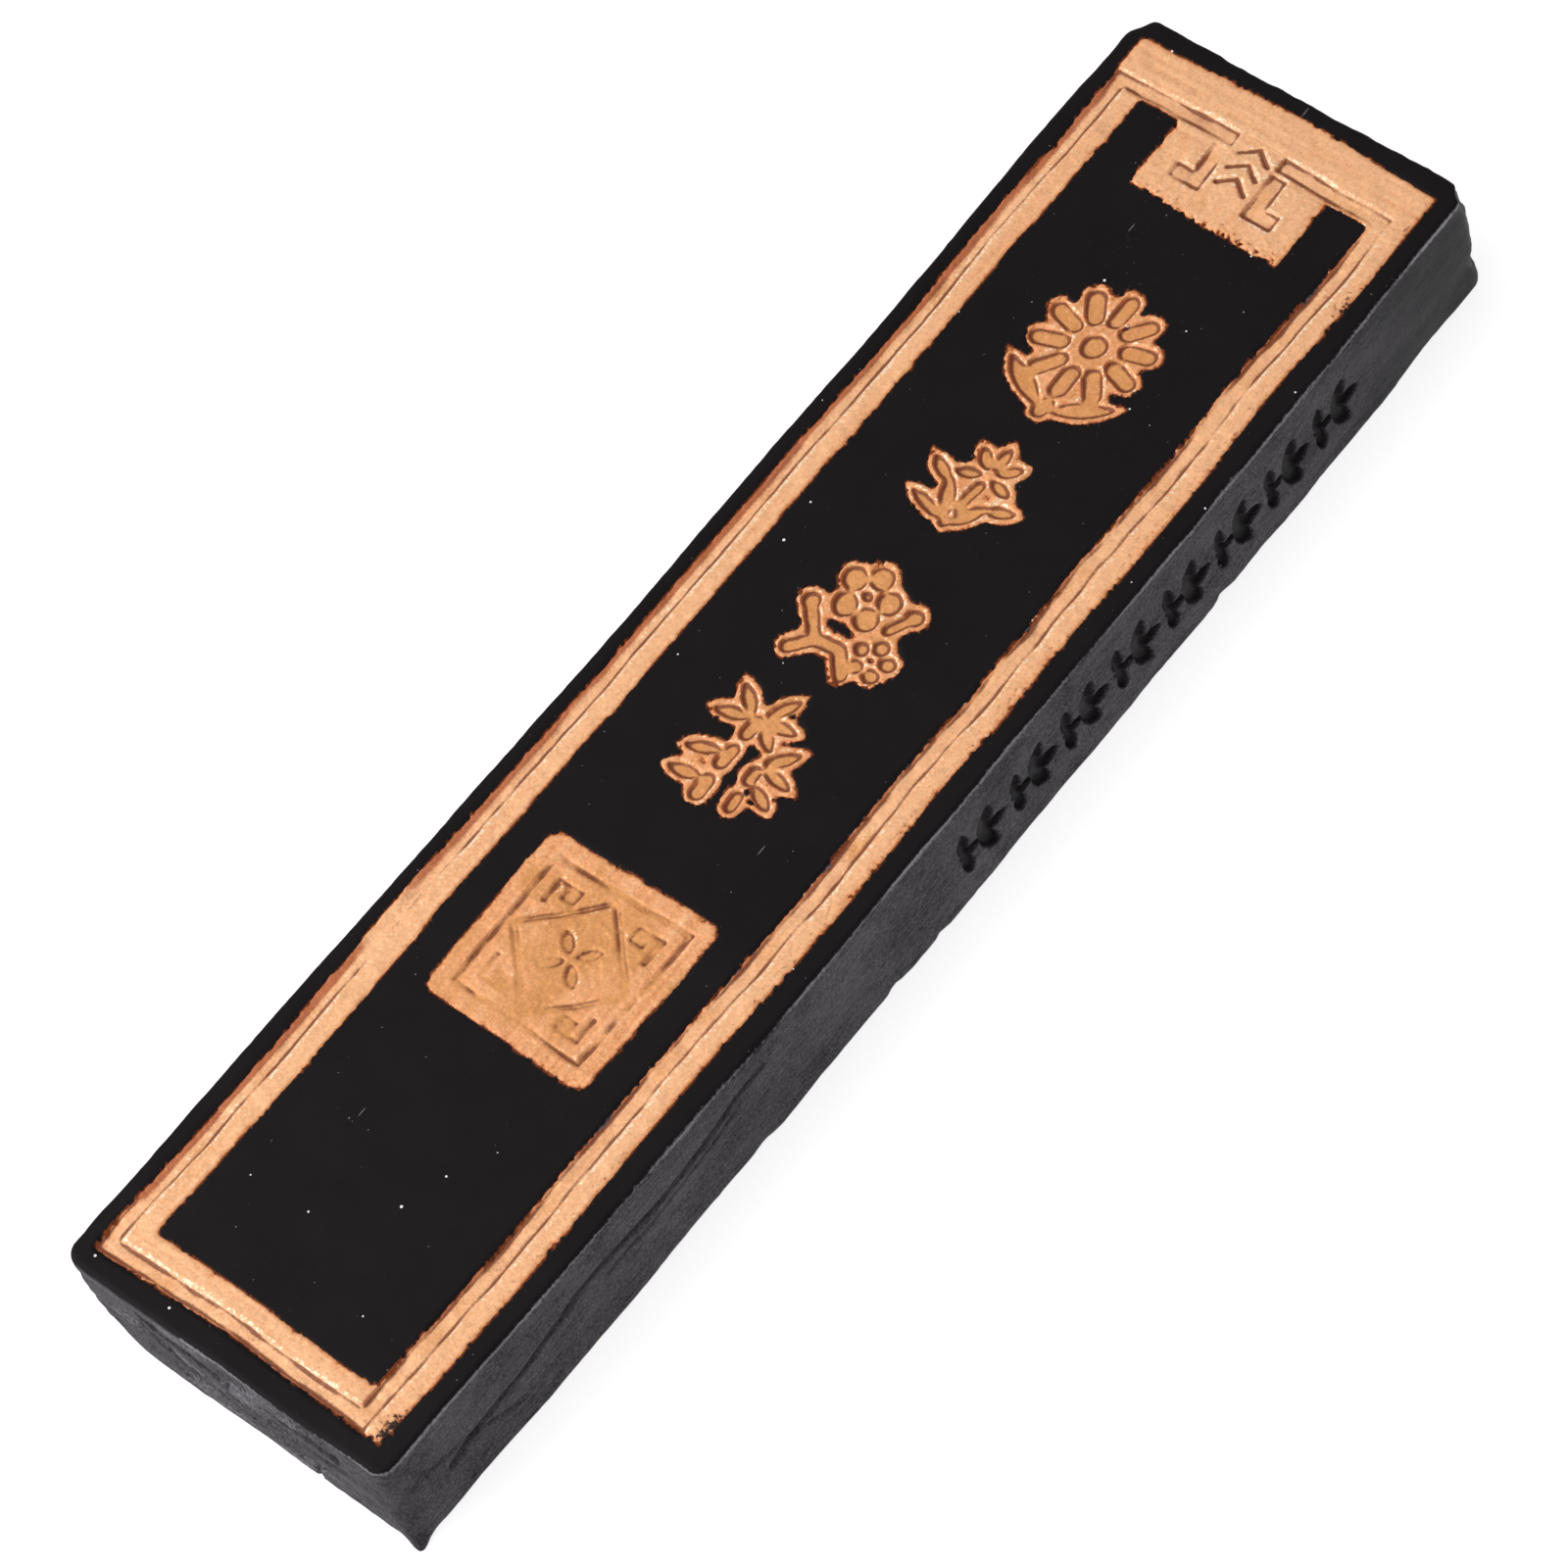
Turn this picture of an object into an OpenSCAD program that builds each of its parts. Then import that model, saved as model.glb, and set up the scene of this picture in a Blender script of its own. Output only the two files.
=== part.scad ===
// Moulded ink stick with gilded relief: one pressed cake of soot ink, and on its two
// broad faces the separate coats of metal-powder paint that lie in its moulded lines.
//
// X runs along the stick, from the grinding end (-X) to the head (+X).
// Z is up through its thickness, and the origin is the middle of the underside.

/* [Stick] */
// Length from the grinding end to the head
stick_l = 95; // [78:1:120]
// Width across the gilded face
stick_w = 23.4; // [19.4:0.2:30]
// Thickness
stick_t = 8.6; // [6.8:0.2:12]
// Radius of the four corners, seen from above
corner_r = 1; // [0.6:0.1:2]
// Radius of the edges round both broad faces
edge_r = 0.4; // [0.2:0.1:0.6]

/* [Moulded lines] */
// Width of the sunk line that frames each broad face
line_w = 1.2; // [0.8:0.1:1.6]
// Depth of every sunk line
line_d = 0.35; // [0.25:0.05:0.6]
// Black rim left outside the frame line along the sides
rim_side = 1.2; // [0.8:0.1:2]
// Black rim left outside the frame line at the grinding end
rim_tail = 1.5; // [1:0.1:2.5]

/* [Gilding] */
// Thickness of a coat of gilding
gilt_t = 0.1; // [0.06:0.02:0.14]
// How far the brush ran over beside a line of the frame
spill = 1.2; // [0.6:0.1:1.6]
// How far it ran over round the plants
halo = 0.4; // [0.2:0.05:0.6]
// Extra width of the painted band at the head
head_spill = 2.4; // [1.2:0.1:3]

/* [Fret at the head] */
// Length of the painted block, along the stick
fret_l = 5; // [4.5:0.1:6]
// Width of the painted block, across the stick
fret_w = 10.6; // [9.6:0.2:12]
// Gap between the two hooked ends, where the chevrons are
fret_gap = 2.9; // [2.5:0.1:3.4]
// Reach of a hook inwards from the frame line
hook_l = 2.2; // [1.6:0.1:2.6]
// Length of the turned-back end of a hook
hook_h = 1.1; // [0.8:0.1:1.6]
// Number of chevrons
chevrons = 3; // [2:1:3]

/* [Plants and seal] */
// Width of a plant motif
plant_w = 9; // [7:0.2:10.8]
// Black ground between the fret and the first plant
head_gap = 6; // [4:0.1:8]
// Black ground between one plant and the next
plant_gap = 1; // [0.8:0.1:2]
// Black ground between the last plant and the seal
seal_gap = 5; // [3:0.1:6]
// Side of the square seal
seal_w = 11.9; // [10:0.1:12.4]
// Radius of the seal's corners
seal_r = 0.9; // [0.4:0.1:1.5]

// Painted rim of the seal, outside its framing line
seal_rim = 1.3; // [1:0.1:1.6]
// Width of the lines in the seal
seal_line = 0.5; // [0.4:0.05:0.6]

/* [Picture on the back] */
// Width of the picture, across the stick
picture_w = 13; // [10:0.5:13.4]
// Radius of the moon
moon_r = 2.6; // [1.6:0.1:3]
// Distance from the frame at the head to the middle of the moon
moon_gap = 6; // [5:0.5:8]

/* [Marks on the side] */
// Number of leaf sprigs pressed into the side
marks = 8; // [4:1:8]
// Distance from the head to the middle of the first sprig
first_mark = 13.6; // [10:0.1:16]
// Distance from one sprig to the next
mark_pitch = 4.6; // [4.2:0.1:5]
// Height of a sprig, through the thickness of the stick
mark_h = 4.6; // [3.6:0.1:5.2]

/* [Hidden] */
$fn = 32;
arc_steps = 7;                              // flats on half a round end or on a leaf's side
over = 1;                                   // how far a cutter stands clear of the surface
copper = [0.93, 0.66, 0.47];
ochre = [0.87, 0.60, 0.38];
soot = [0.15, 0.14, 0.15];

// Middle of the frame line along each side; the painted head band is the widest
line_tail = -stick_l / 2 + rim_tail + line_w / 2;
line_head = stick_l / 2 - rim_side - head_spill - line_w / 2;
line_left = stick_w / 2 - rim_side - line_w / 2;
line_right = -stick_w / 2 + rim_side + spill + line_w / 2;

// Painted band: the brush ran over towards +X and -Y
band_tail = line_tail - line_w / 2;
band_head = line_head + line_w / 2 + head_spill;
band_left = line_left + line_w / 2;
band_right = line_right - line_w / 2 - spill;
field_tail = line_tail + line_w / 2 + spill;
field_head = line_head - line_w / 2;
field_left = line_left - line_w / 2 - spill;
field_right = line_right + line_w / 2;

// Places of the ornaments along the stick
plant_x = [for (i = [0:3]) field_head - fret_l - head_gap - plant_w / 2 - i * (plant_w + plant_gap)];
seal_x = plant_x[3] - plant_w / 2 - seal_gap - seal_w / 2;
field_y = (field_left + field_right) / 2;
k = plant_w / 9;                            // the plants are drawn 9 wide
stroke_r = 0.55 * k;                        // half the width of a brush stroke

// The back has an even frame, and a picture in the middle of it
back_line_x = stick_l / 2 - rim_tail - line_w / 2;
back_line_y = stick_w / 2 - rim_side - line_w / 2;
back_field_x = back_line_x - line_w / 2 - halo;
pic = picture_w / 13;                       // the picture is drawn 13 wide
chevron_pitch = 1.15;                       // from one chevron to the next
chevron_l = 0.75;                           // from the arms' ends to the point
chevron_r = 0.22;                           // half the width of a chevron's line
bough_x = -9;                               // middle of the bough, along the stick

// ---- plane shapes -----------------------------------------------------------------

// A rectangle with round corners, about the origin
module rounded(w, h, r) {
    square([w - 2 * r, h], center = true);
    square([w, h - 2 * r], center = true);
    for (x = [-1, 1], y = [-1, 1])
        translate([x * (w / 2 - r), y * (h / 2 - r)]) circle(r);
}

// A straight brush stroke with round ends; $grow widens it
module bar(p, q, r) {
    s = r + $grow;
    a = atan2(q.y - p.y, q.x - p.x);
    polygon(concat(arc(q, s, a - 90, a + 90), arc(p, s, a + 90, a + 270)));
}

module dot(p, r) bar(p, p, r);

// A chain of bars
module stroke(pts, r) for (i = [1:len(pts) - 1]) bar(pts[i - 1], pts[i], r);

// A pointed leaf of the given length and width, from the point p at the angle a
module leaf(p, a, l, w) translate(p) rotate(a) {
    arc_r = (l * l + w * w) / (4 * w);
    c = arc_r - w / 2;
    h = acos(c / (arc_r + $grow));
    polygon(concat(half_leaf([l / 2, -c], arc_r + $grow, 90, h),
                   half_leaf([l / 2, c], arc_r + $grow, 270, h)));
}

// A straight groove with square ends, along X or along Y; $grow widens it
module groove(p, q, w) {
    s = w / 2 + $grow;
    translate([min(p.x, q.x) - s, min(p.y, q.y) - s])
        square([abs(p.x - q.x) + 2 * s, abs(p.y - q.y) + 2 * s]);
}

// A chain of grooves
module grooves(pts, w) for (i = [1:len(pts) - 1]) groove(pts[i - 1], pts[i], w);

// Puts a plant that is drawn upright, in u to the right and v up, with its top to the head
module upright(x) translate([x, 0]) rotate(-90) children();

// The point at the distance r in the direction a
function polar(r, a) = [r * cos(a), r * sin(a)];

// Points round an arc; a shape made of arcs has one flat for each step
function arc(c, r, a0, a1) = [for (i = [0:arc_steps]) c + polar(r, a0 + (a1 - a0) * i / arc_steps)];

// One side of a leaf, without the last point, where the other side starts
function half_leaf(c, r, mid, h) =
    [for (i = [0:arc_steps - 1]) c + polar(r, mid - h + 2 * h * i / arc_steps)];

// ---- coats and their beds ----------------------------------------------------------

// A coat at the level z = 0. Its first child is the painted area and its second child
// the moulded lines: the coat covers the area and lines the floor and walls of the lines.
module coat() {
    $grow = 0;
    linear_extrude(gilt_t) difference() { children(0); children(1); }
    difference() {
        translate([0, 0, -line_d]) linear_extrude(line_d + gilt_t) children(1);
        translate([0, 0, gilt_t - line_d]) linear_extrude(line_d + over)
            let($grow = -gilt_t) children(1);
    }
}

module on_top() translate([0, 0, stick_t]) children();

// The coats on the back are flush with the underside, so the stick rests flat on it
module under() translate([0, 0, gilt_t]) mirror([0, 0, 1]) children();

// What a line cuts out of the body
module bed() {
    $grow = 0;
    translate([0, 0, -line_d]) linear_extrude(line_d + over) children();
}

// ---- outlines: where the paint is, and where the lines are -------------------------

// The frame line, open at the head where the fret's hooks leave it
module border_lines() {
    y1 = field_y + fret_gap / 2 + line_w / 2;
    y0 = field_y - fret_gap / 2 - line_w / 2;
    grooves([[line_head, y1], [line_head, line_left], [line_tail, line_left],
             [line_tail, line_right], [line_head, line_right], [line_head, y0]], line_w);
}

// The painted band round the field
module border_area() difference() {
    translate([band_tail, band_right]) square([band_head - band_tail, band_left - band_right]);
    translate([field_tail, field_right])
        square([field_head - field_tail, field_left - field_right]);
}

// Two hooked ends that leave the frame line, and the chevrons between them
module fret_lines() {
    x1 = field_head - line_w / 2;
    x0 = x1 - hook_l;
    for (s = [-1, 1]) {
        y0 = s * (fret_gap / 2 + line_w / 2);
        translate([0, field_y]) grooves([[x1, y0], [x0, y0], [x0, y0 + s * hook_h]], line_w);
    }
    for (i = [0:chevrons - 1]) translate([line_head + 0.2 - i * chevron_pitch, field_y])
        for (s = [-1, 1]) bar([0, 0], [-chevron_l, s], chevron_r);
}

// The painted block, and the tongue between the hooks that holds the last chevron
module fret_area() {
    translate([field_head - fret_l, field_y - fret_w / 2]) square([fret_l, fret_w]);
    translate([field_head - over, field_y - fret_gap / 2]) square([over + line_w, fret_gap]);
}

// Ten petals round a boss, on a short stem with two leaves
module chrysanthemum_lines() upright(plant_x[0]) {
    c = [0, 0.8] * k;
    dot(c, 0.85 * k);
    for (a = [18:36:342]) bar(c + polar(2 * k, a), c + polar(3.3 * k, a), 0.6 * k);
    bar([0, -3.6] * k, [0, -4.1] * k, stroke_r);
    for (s = [-1, 1]) leaf([s * 0.2, -4] * k, 90 - s * 60, 4.2 * k, 1.3 * k);
}

// Long leaves that bend over from one root, and a flower on a stalk
module orchid_lines() upright(plant_x[1]) {
    root = [0, -2.9];
    dot([0, -2.8] * k, 0.35 * k);
    leaf(root * k, 118, 3.4 * k, 1.1 * k);
    leaf([-1.2, -0.6] * k, 150, 2.4 * k, 0.9 * k);
    leaf(root * k, 52, 3 * k, 1.1 * k);
    leaf([1.4, -1] * k, 18, 2.2 * k, 0.9 * k);
    leaf([-0.1, -2.7] * k, 166, 3 * k, 0.9 * k);
    bar([0.1, -1.5] * k, [0.4, 0.2] * k, 0.4 * k);
    for (a = [-20, 42, 90, 138, 200]) leaf([0.4, 1] * k + polar(0.25 * k, a), a, 1.9 * k, 0.9 * k);
}

// A forked branch with one open blossom, a smaller one and two buds
module plum_lines() upright(plant_x[2]) {
    blossom([-0.5, 1.2] * k, 1.35 * k, 0.82 * k);
    blossom([2.2, -1.7] * k, 0.95 * k, 0.55 * k);
    stroke([[-2.4, -3.6] * k, [-1.4, -2.4] * k, [0.2, -2.2] * k, [1.3, -3.4] * k], 0.5 * k);
    stroke([[-1.4, -2.4] * k, [-2.7, -1.2] * k], 0.45 * k);
    dot([-3.1, -0.7] * k, 0.6 * k);
    dot([2.5, 1.7] * k, 0.6 * k);
    bar([2.2, 1.1] * k, [1.8, 0.3] * k, 0.4 * k);
}

// Five round petals about the point c, and the eye between them
module blossom(c, reach, petal_r) {
    dot(c, petal_r * 0.45);
    for (a = [90:72:378]) dot(c + polar(reach, a), petal_r);
}

// Two jointed canes with hanging leaves
module bamboo_lines() upright(plant_x[3]) {
    for (v = [-3.6, -1.4, 0.8]) bar([-0.7, v] * k, [-0.7, v + 1] * k, 0.5 * k);
    for (v = [-3.4, -1.5]) bar([1.3, v] * k, [1.3, v + 0.7] * k, 0.45 * k);
    for (a = [60, 5, -40]) leaf([-0.5, 2.1] * k, a, 2.5 * k, 0.95 * k);
    for (a = [140, 195]) leaf([-1, 1.8] * k, a, 2.6 * k, 0.95 * k);
    leaf([-0.95, -0.7] * k, 200, 2.6 * k, 0.95 * k);
    for (a = [48, -12]) leaf([1.3, -0.3] * k, a, 2.5 * k, 0.95 * k);
    leaf([1.5, -1.5] * k, -30, 2.2 * k, 0.95 * k);
    leaf([-0.95, -2.6] * k, 190, 2.4 * k, 0.95 * k);
}

// One frame, a key in each corner, and a four-petalled flower in a lozenge
module seal_lines() translate([seal_x, field_y]) {
    frame(seal_w - 2 * seal_rim, seal_line);
    r = seal_w / 2 - seal_rim - 0.5;
    lozenge([0, 0], r, r, seal_line * 0.6);
    for (a = [45:90:315]) leaf(polar(0.15, a), a, 1.9, 0.95);
    for (sx = [-1, 1], sy = [-1, 1]) translate([sx * (r - 0.55), sy * (r - 0.55)])
        grooves([[-sx * 1.5, 0], [0, 0], [0, -sy * 1.5], [-sx * 0.8, -sy * 0.8]], seal_line);
}

module frame(w, line) {
    h = w / 2;
    grooves([[-h, -h], [h, -h], [h, h], [-h, h], [-h, -h]], line);
}

module lozenge(c, a, b, r)
    stroke([c + [a, 0], c + [0, b], c + [-a, 0], c + [0, -b], c + [a, 0]], r);

module seal_area() translate([seal_x, field_y]) rounded(seal_w, seal_w, seal_r);

module back_border_lines() {
    x = back_line_x;
    y = back_line_y;
    grooves([[-x, -y], [x, -y], [x, y], [-x, y], [-x, -y]], line_w);
}

module back_border_area() let($grow = halo) back_border_lines();

// A bent bough that thins towards the head, with its twigs
module back_bough_lines() upright(bough_x) {
    bough = [[-3.6, -25], [-1.6, -17.5], [-2.6, -10], [0.6, -2.5], [-0.6, 5], [1.8, 12], [0.8, 18]];
    for (i = [1:6]) bar(bough[i - 1] * pic, bough[i] * pic, 1.05 - 0.1 * i);
    stroke([bough[1] * pic, [1.6, -13.4] * pic, [3.2, -9.8] * pic], 0.45);
    stroke([bough[2] * pic, [-4.4, -6.2] * pic, [-4.2, -3.6] * pic], 0.45);
    stroke([bough[3] * pic, [3.4, 1] * pic], 0.45);
    stroke([bough[4] * pic, [-3.4, 8.2] * pic, [-3.8, 10.6] * pic], 0.42);
    stroke([bough[5] * pic, [4.2, 14.2] * pic], 0.4);
}

// Open five-petalled blossoms at the ends of the twigs
module back_blossom_lines() upright(bough_x) {
    for (c = [[4.2, -6.2], [-3.8, 0.2], [4, 4.4], [-3.7, 14.2], [0.6, 22]])
        blossom(c * pic, 1.35 * pic, 0.78 * pic);
}

// Round buds beside the blossoms
module back_bud_lines() upright(bough_x) {
    for (c = [[-5.4, -12], [2.4, -19.4], [5.4, 16.2], [-1.6, 25.6], [4.8, 9.6]]) dot(c * pic, 0.75 * pic);
}

// The full moon above the bough
module back_moon_lines() upright(back_field_x - moon_gap) circle(moon_r + $grow);

// One sprig: a stalk and a fan of three leaves, its top to the head
module sprig() {
    $grow = 0;
    reach = mark_h / 2;
    rotate(90) {
        leaf([0, -reach * 0.9], 90, reach * 0.9, 0.5);
        for (a = [30, 90, 150]) leaf([0, -reach * 0.1], a, reach * 0.98, 1);
        for (a = [5, 175]) leaf([0, -reach * 0.7], a, reach * 0.8, 0.8);
    }
}

// ---- the pieces --------------------------------------------------------------------

// Three extrusions that cross give a bar with every edge and corner rounded
module blank() intersection() {
    linear_extrude(stick_t) rounded(stick_l, stick_w, corner_r);
    translate([0, 0, stick_t / 2]) rotate([90, 0, 0])
        translate([0, 0, -stick_w]) linear_extrude(2 * stick_w) rounded(stick_l, stick_t, edge_r);
    translate([0, 0, stick_t / 2]) rotate([90, 0, 90])
        translate([0, 0, -stick_l]) linear_extrude(2 * stick_l) rounded(stick_w, stick_t, edge_r);
}

module ink_body() color(soot) difference() {
    blank();
    on_top() bed() {
        border_lines();
        fret_lines();
        chrysanthemum_lines();
        orchid_lines();
        plum_lines();
        bamboo_lines();
        seal_lines();
    }
    under() {
        bed() back_lines();
        linear_extrude(over) let($grow = halo) back_lines();
    }
    for (i = [0:marks - 1])
        translate([mark_x(i), -stick_w / 2 + line_d, stick_t / 2 - 0.2])
            rotate([90, 0, 0]) linear_extrude(line_d + over) rotate(180) sprig();
}

module back_lines() {
    back_border_lines();
    back_bough_lines();
    back_blossom_lines();
    back_bud_lines();
    back_moon_lines();
}

function mark_x(i) = stick_l / 2 - first_mark - i * mark_pitch;

// The frame and the fret were painted in one go, and are told apart at the fret's outline
module frame_coat() on_top() coat() {
    union() { border_area(); fret_area(); }
    union() { border_lines(); fret_lines(); }
}

module fret_block() translate([0, 0, stick_t / 2]) linear_extrude(stick_t) fret_area();

module border_gilding() color(copper) difference() {
    frame_coat();
    fret_block();
}

module fret_gilding() color(copper) intersection() {
    frame_coat();
    fret_block();
}

module chrysanthemum_gilding() color(ochre) on_top() coat() {
    let($grow = halo) chrysanthemum_lines();
    chrysanthemum_lines();
}

module orchid_gilding() color(ochre) on_top() coat() {
    let($grow = halo) orchid_lines();
    orchid_lines();
}

module plum_gilding() color(ochre) on_top() coat() {
    let($grow = halo) plum_lines();
    plum_lines();
}

module bamboo_gilding() color(ochre) on_top() coat() {
    let($grow = halo) bamboo_lines();
    bamboo_lines();
}

module seal_gilding() color(copper) on_top() coat() {
    seal_area();
    seal_lines();
}

module back_border_gilding() color(copper) under() coat() {
    back_border_area();
    back_border_lines();
}

module back_bough_gilding() color(ochre) under() coat() {
    let($grow = halo) back_bough_lines();
    back_bough_lines();
}

module back_blossom_gilding() color(copper) under() coat() {
    let($grow = halo) back_blossom_lines();
    back_blossom_lines();
}

module back_bud_gilding() color(copper) under() coat() {
    let($grow = halo) back_bud_lines();
    back_bud_lines();
}

module back_moon_gilding() color(copper) under() coat() {
    let($grow = halo) back_moon_lines();
    back_moon_lines();
}

ink_body();
border_gilding();
fret_gilding();
chrysanthemum_gilding();
orchid_gilding();
plum_gilding();
bamboo_gilding();
seal_gilding();
back_border_gilding();
back_bough_gilding();
back_blossom_gilding();
back_bud_gilding();
back_moon_gilding();
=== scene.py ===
# %% [markdown]
# # A gilded ink stick
# An ink stick is a bar of soot and animal glue, pressed in a carved wooden mould and dried hard.
# The mould leaves thin sunk lines on both broad faces, and a painter brushes copper-coloured metal
# powder over them, a little carelessly, so that the paint runs onto the black ground.
# The CAD frame knows where each coat of paint lies and how deep its lines are. This file reads that
# from the CAD solids, and makes the worn black bar and the uneven coats from it.

# %% Load the frame
import math
import bpy
import bmesh
import numpy as np
from mathutils import Matrix, Vector
from mathutils.bvhtree import BVHTree


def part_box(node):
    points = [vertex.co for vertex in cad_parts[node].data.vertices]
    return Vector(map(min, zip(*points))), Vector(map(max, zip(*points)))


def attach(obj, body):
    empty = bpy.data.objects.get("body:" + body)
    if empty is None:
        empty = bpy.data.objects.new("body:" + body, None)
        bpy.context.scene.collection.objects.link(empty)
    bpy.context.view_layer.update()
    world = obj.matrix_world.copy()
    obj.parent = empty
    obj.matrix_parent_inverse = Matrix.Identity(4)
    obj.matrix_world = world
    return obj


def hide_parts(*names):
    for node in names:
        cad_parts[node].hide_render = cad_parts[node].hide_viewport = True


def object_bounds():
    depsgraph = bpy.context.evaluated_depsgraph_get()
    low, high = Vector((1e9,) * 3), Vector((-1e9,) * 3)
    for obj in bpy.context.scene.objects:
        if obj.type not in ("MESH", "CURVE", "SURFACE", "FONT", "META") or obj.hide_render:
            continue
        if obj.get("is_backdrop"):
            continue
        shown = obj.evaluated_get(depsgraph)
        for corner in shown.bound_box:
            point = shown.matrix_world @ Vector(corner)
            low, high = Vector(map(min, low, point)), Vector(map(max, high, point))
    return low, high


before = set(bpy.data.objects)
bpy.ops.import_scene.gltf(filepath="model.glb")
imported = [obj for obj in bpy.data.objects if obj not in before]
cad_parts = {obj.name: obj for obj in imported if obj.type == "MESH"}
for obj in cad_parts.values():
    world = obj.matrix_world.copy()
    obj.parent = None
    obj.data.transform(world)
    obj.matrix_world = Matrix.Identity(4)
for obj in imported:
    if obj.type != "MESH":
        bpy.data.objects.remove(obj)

cad_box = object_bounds()
MM = 0.001                                  # metres in a millimetre
low, high = (np.array(corner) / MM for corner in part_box("ink_body"))
LENGTH, WIDTH, THICK = high - low
print(f"bar {LENGTH:.1f} x {WIDTH:.1f} x {THICK:.1f} mm")

# %% [markdown]
# ## Camera and light
# The stick lies on a white table and is seen from its grinding end, from high up, through a long
# lens. The light is one broad soft source above the far left, with a weak fill on the grinding end
# and a glow all round. The long right side turns away from the lamp and is lit by the table alone,
# so it stays dark grey and shows its scratches.

# %% Camera
VIEW_AZIMUTH = math.radians(-32.2)
VIEW_HEIGHT = math.radians(58.1)
VIEW_ROLL = math.radians(-21.4)
AIM = Vector((-3.4, -3.1, THICK)) * MM
REACH = 392.5 * MM                          # from the aim point to the lens
LENS = 166                                  # mm, focal length

turn = (Matrix.Rotation(VIEW_AZIMUTH, 4, "Z") @ Matrix.Rotation(math.pi / 2 - VIEW_HEIGHT, 4, "X")
        @ Matrix.Rotation(VIEW_ROLL, 4, "Z"))
camera = bpy.data.objects.new("camera", bpy.data.cameras.new("camera"))
camera.data.lens = LENS
camera.data.clip_start = 10 * MM
camera.matrix_world = Matrix.Translation(AIM + turn.col[2].xyz * REACH) @ turn
bpy.context.scene.collection.objects.link(camera)
bpy.context.scene.camera = camera
print("camera at", [round(c / MM, 1) for c in camera.location])

# %% Light
LAMP_WAY = Vector((-0.45, 0.5, 0.74)).normalized()
LAMP_AWAY = 0.7                             # m
LAMP_SIZE = 0.8                             # m
LAMP_WATTS = 4.4
FILL_WAY = Vector((-0.9, 0.1, 0.35)).normalized()
FILL_AWAY = 0.6                             # m
FILL_SIZE = 0.3                             # m
FILL_WATTS = 0.45
GLOW = 0.4                                  # strength of the white world
WHITE = (1, 1, 1, 1)


def lamp(name, way, away, size, watts):
    """A square soft light that faces the stick from the direction way."""
    data = bpy.data.lights.new(name, "AREA")
    data.size, data.energy = size, watts
    thing = bpy.data.objects.new(name, data)
    lamp_facing = way.to_track_quat("Z", "Y").to_matrix().to_4x4()
    thing.matrix_world = Matrix.Translation(way * away) @ lamp_facing
    bpy.context.scene.collection.objects.link(thing)


lamp("overhead_softbox", LAMP_WAY, LAMP_AWAY, LAMP_SIZE, LAMP_WATTS)
lamp("end_fill", FILL_WAY, FILL_AWAY, FILL_SIZE, FILL_WATTS)
world = bpy.data.worlds.new("studio")
bpy.context.scene.world = world
world.use_nodes = True
sky = world.node_tree.nodes["Background"]
sky.inputs["Color"].default_value = WHITE
sky.inputs["Strength"].default_value = GLOW
bpy.context.scene.view_settings.view_transform = "Standard"
print(f"lamp {LAMP_WATTS} W, fill {FILL_WATTS} W, glow {GLOW}")

# %% [markdown]
# ## Maps
# The relief is shallow and lies on flat faces, so each face is described by plane maps, as a carver
# would shade it: one says where there is paint, and one how deep the ground is sunk. Rays cast at
# the CAD solids fill the maps, and a soft blur rounds them, the way a mould and a brush do. Maps are
# used here because all the unevenness can then be drawn in plain numbers, in millimetres.

# %% Map tools
CELL = 0.08                                 # mm between the points of a map
MARGIN = 1.0                                # mm of map past the edges of the bar
map_x = np.arange(low[0] - MARGIN, high[0] + MARGIN, CELL)
map_y = np.arange(low[1] - MARGIN, high[1] + MARGIN, CELL)
map_z = np.arange(low[2] - MARGIN, high[2] + MARGIN, CELL)
dice = np.random.default_rng(7)
FACE = (len(map_x), len(map_y))
SIDE = (len(map_x), len(map_z))
END = (len(map_y), len(map_z))
print(f"a map of a face has {FACE[0]} x {FACE[1]} points")


def blur(field, sigma, stretch=1.0):
    """A Gaussian blur of a map, sigma in mm; stretch lengthens it along the map's first axis."""
    rows = np.fft.fftfreq(field.shape[0], CELL)[:, None] * stretch
    cols = np.fft.rfftfreq(field.shape[1], CELL)[None, :]
    keep = np.exp(-2 * (np.pi * sigma) ** 2 * (rows ** 2 + cols ** 2))
    return np.fft.irfft2(np.fft.rfft2(field) * keep, field.shape)


def ripple(shape, sigma, stretch=1.0):
    """Smooth random unevenness of unit strength, with lumps about three sigma wide."""
    field = blur(dice.standard_normal(shape), sigma, stretch)
    return field / field.std()


def look_up(field, u, v, axis_u=map_x, axis_v=map_y):
    """The value of a map at the points u, v, in mm, between its own points."""
    a = np.clip((u - axis_u[0]) / CELL, 0, field.shape[0] - 1.001)
    b = np.clip((v - axis_v[0]) / CELL, 0, field.shape[1] - 1.001)
    i, j = a.astype(int), b.astype(int)
    a, b = a - i, b - j
    near = field[i, j] * (1 - b) + field[i, j + 1] * b
    far = field[i + 1, j] * (1 - b) + field[i + 1, j + 1] * b
    return near * (1 - a) + far * a


def smooth(t):
    """0 below 0, 1 above 1 and a soft step between."""
    t = np.clip(t, 0, 1)
    return t * t * (3 - 2 * t)


def hump(t):
    """1 at 0, falling softly to 0 at 1 and at -1."""
    return smooth(1 - np.abs(t))


# %% Rays at the CAD solids
COAT = 0.1                                  # mm, thickness of the CAD's coats
CLEAR = 5.0                                 # mm between a ray's start and the face
evaluated = bpy.context.evaluated_depsgraph_get()


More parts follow.
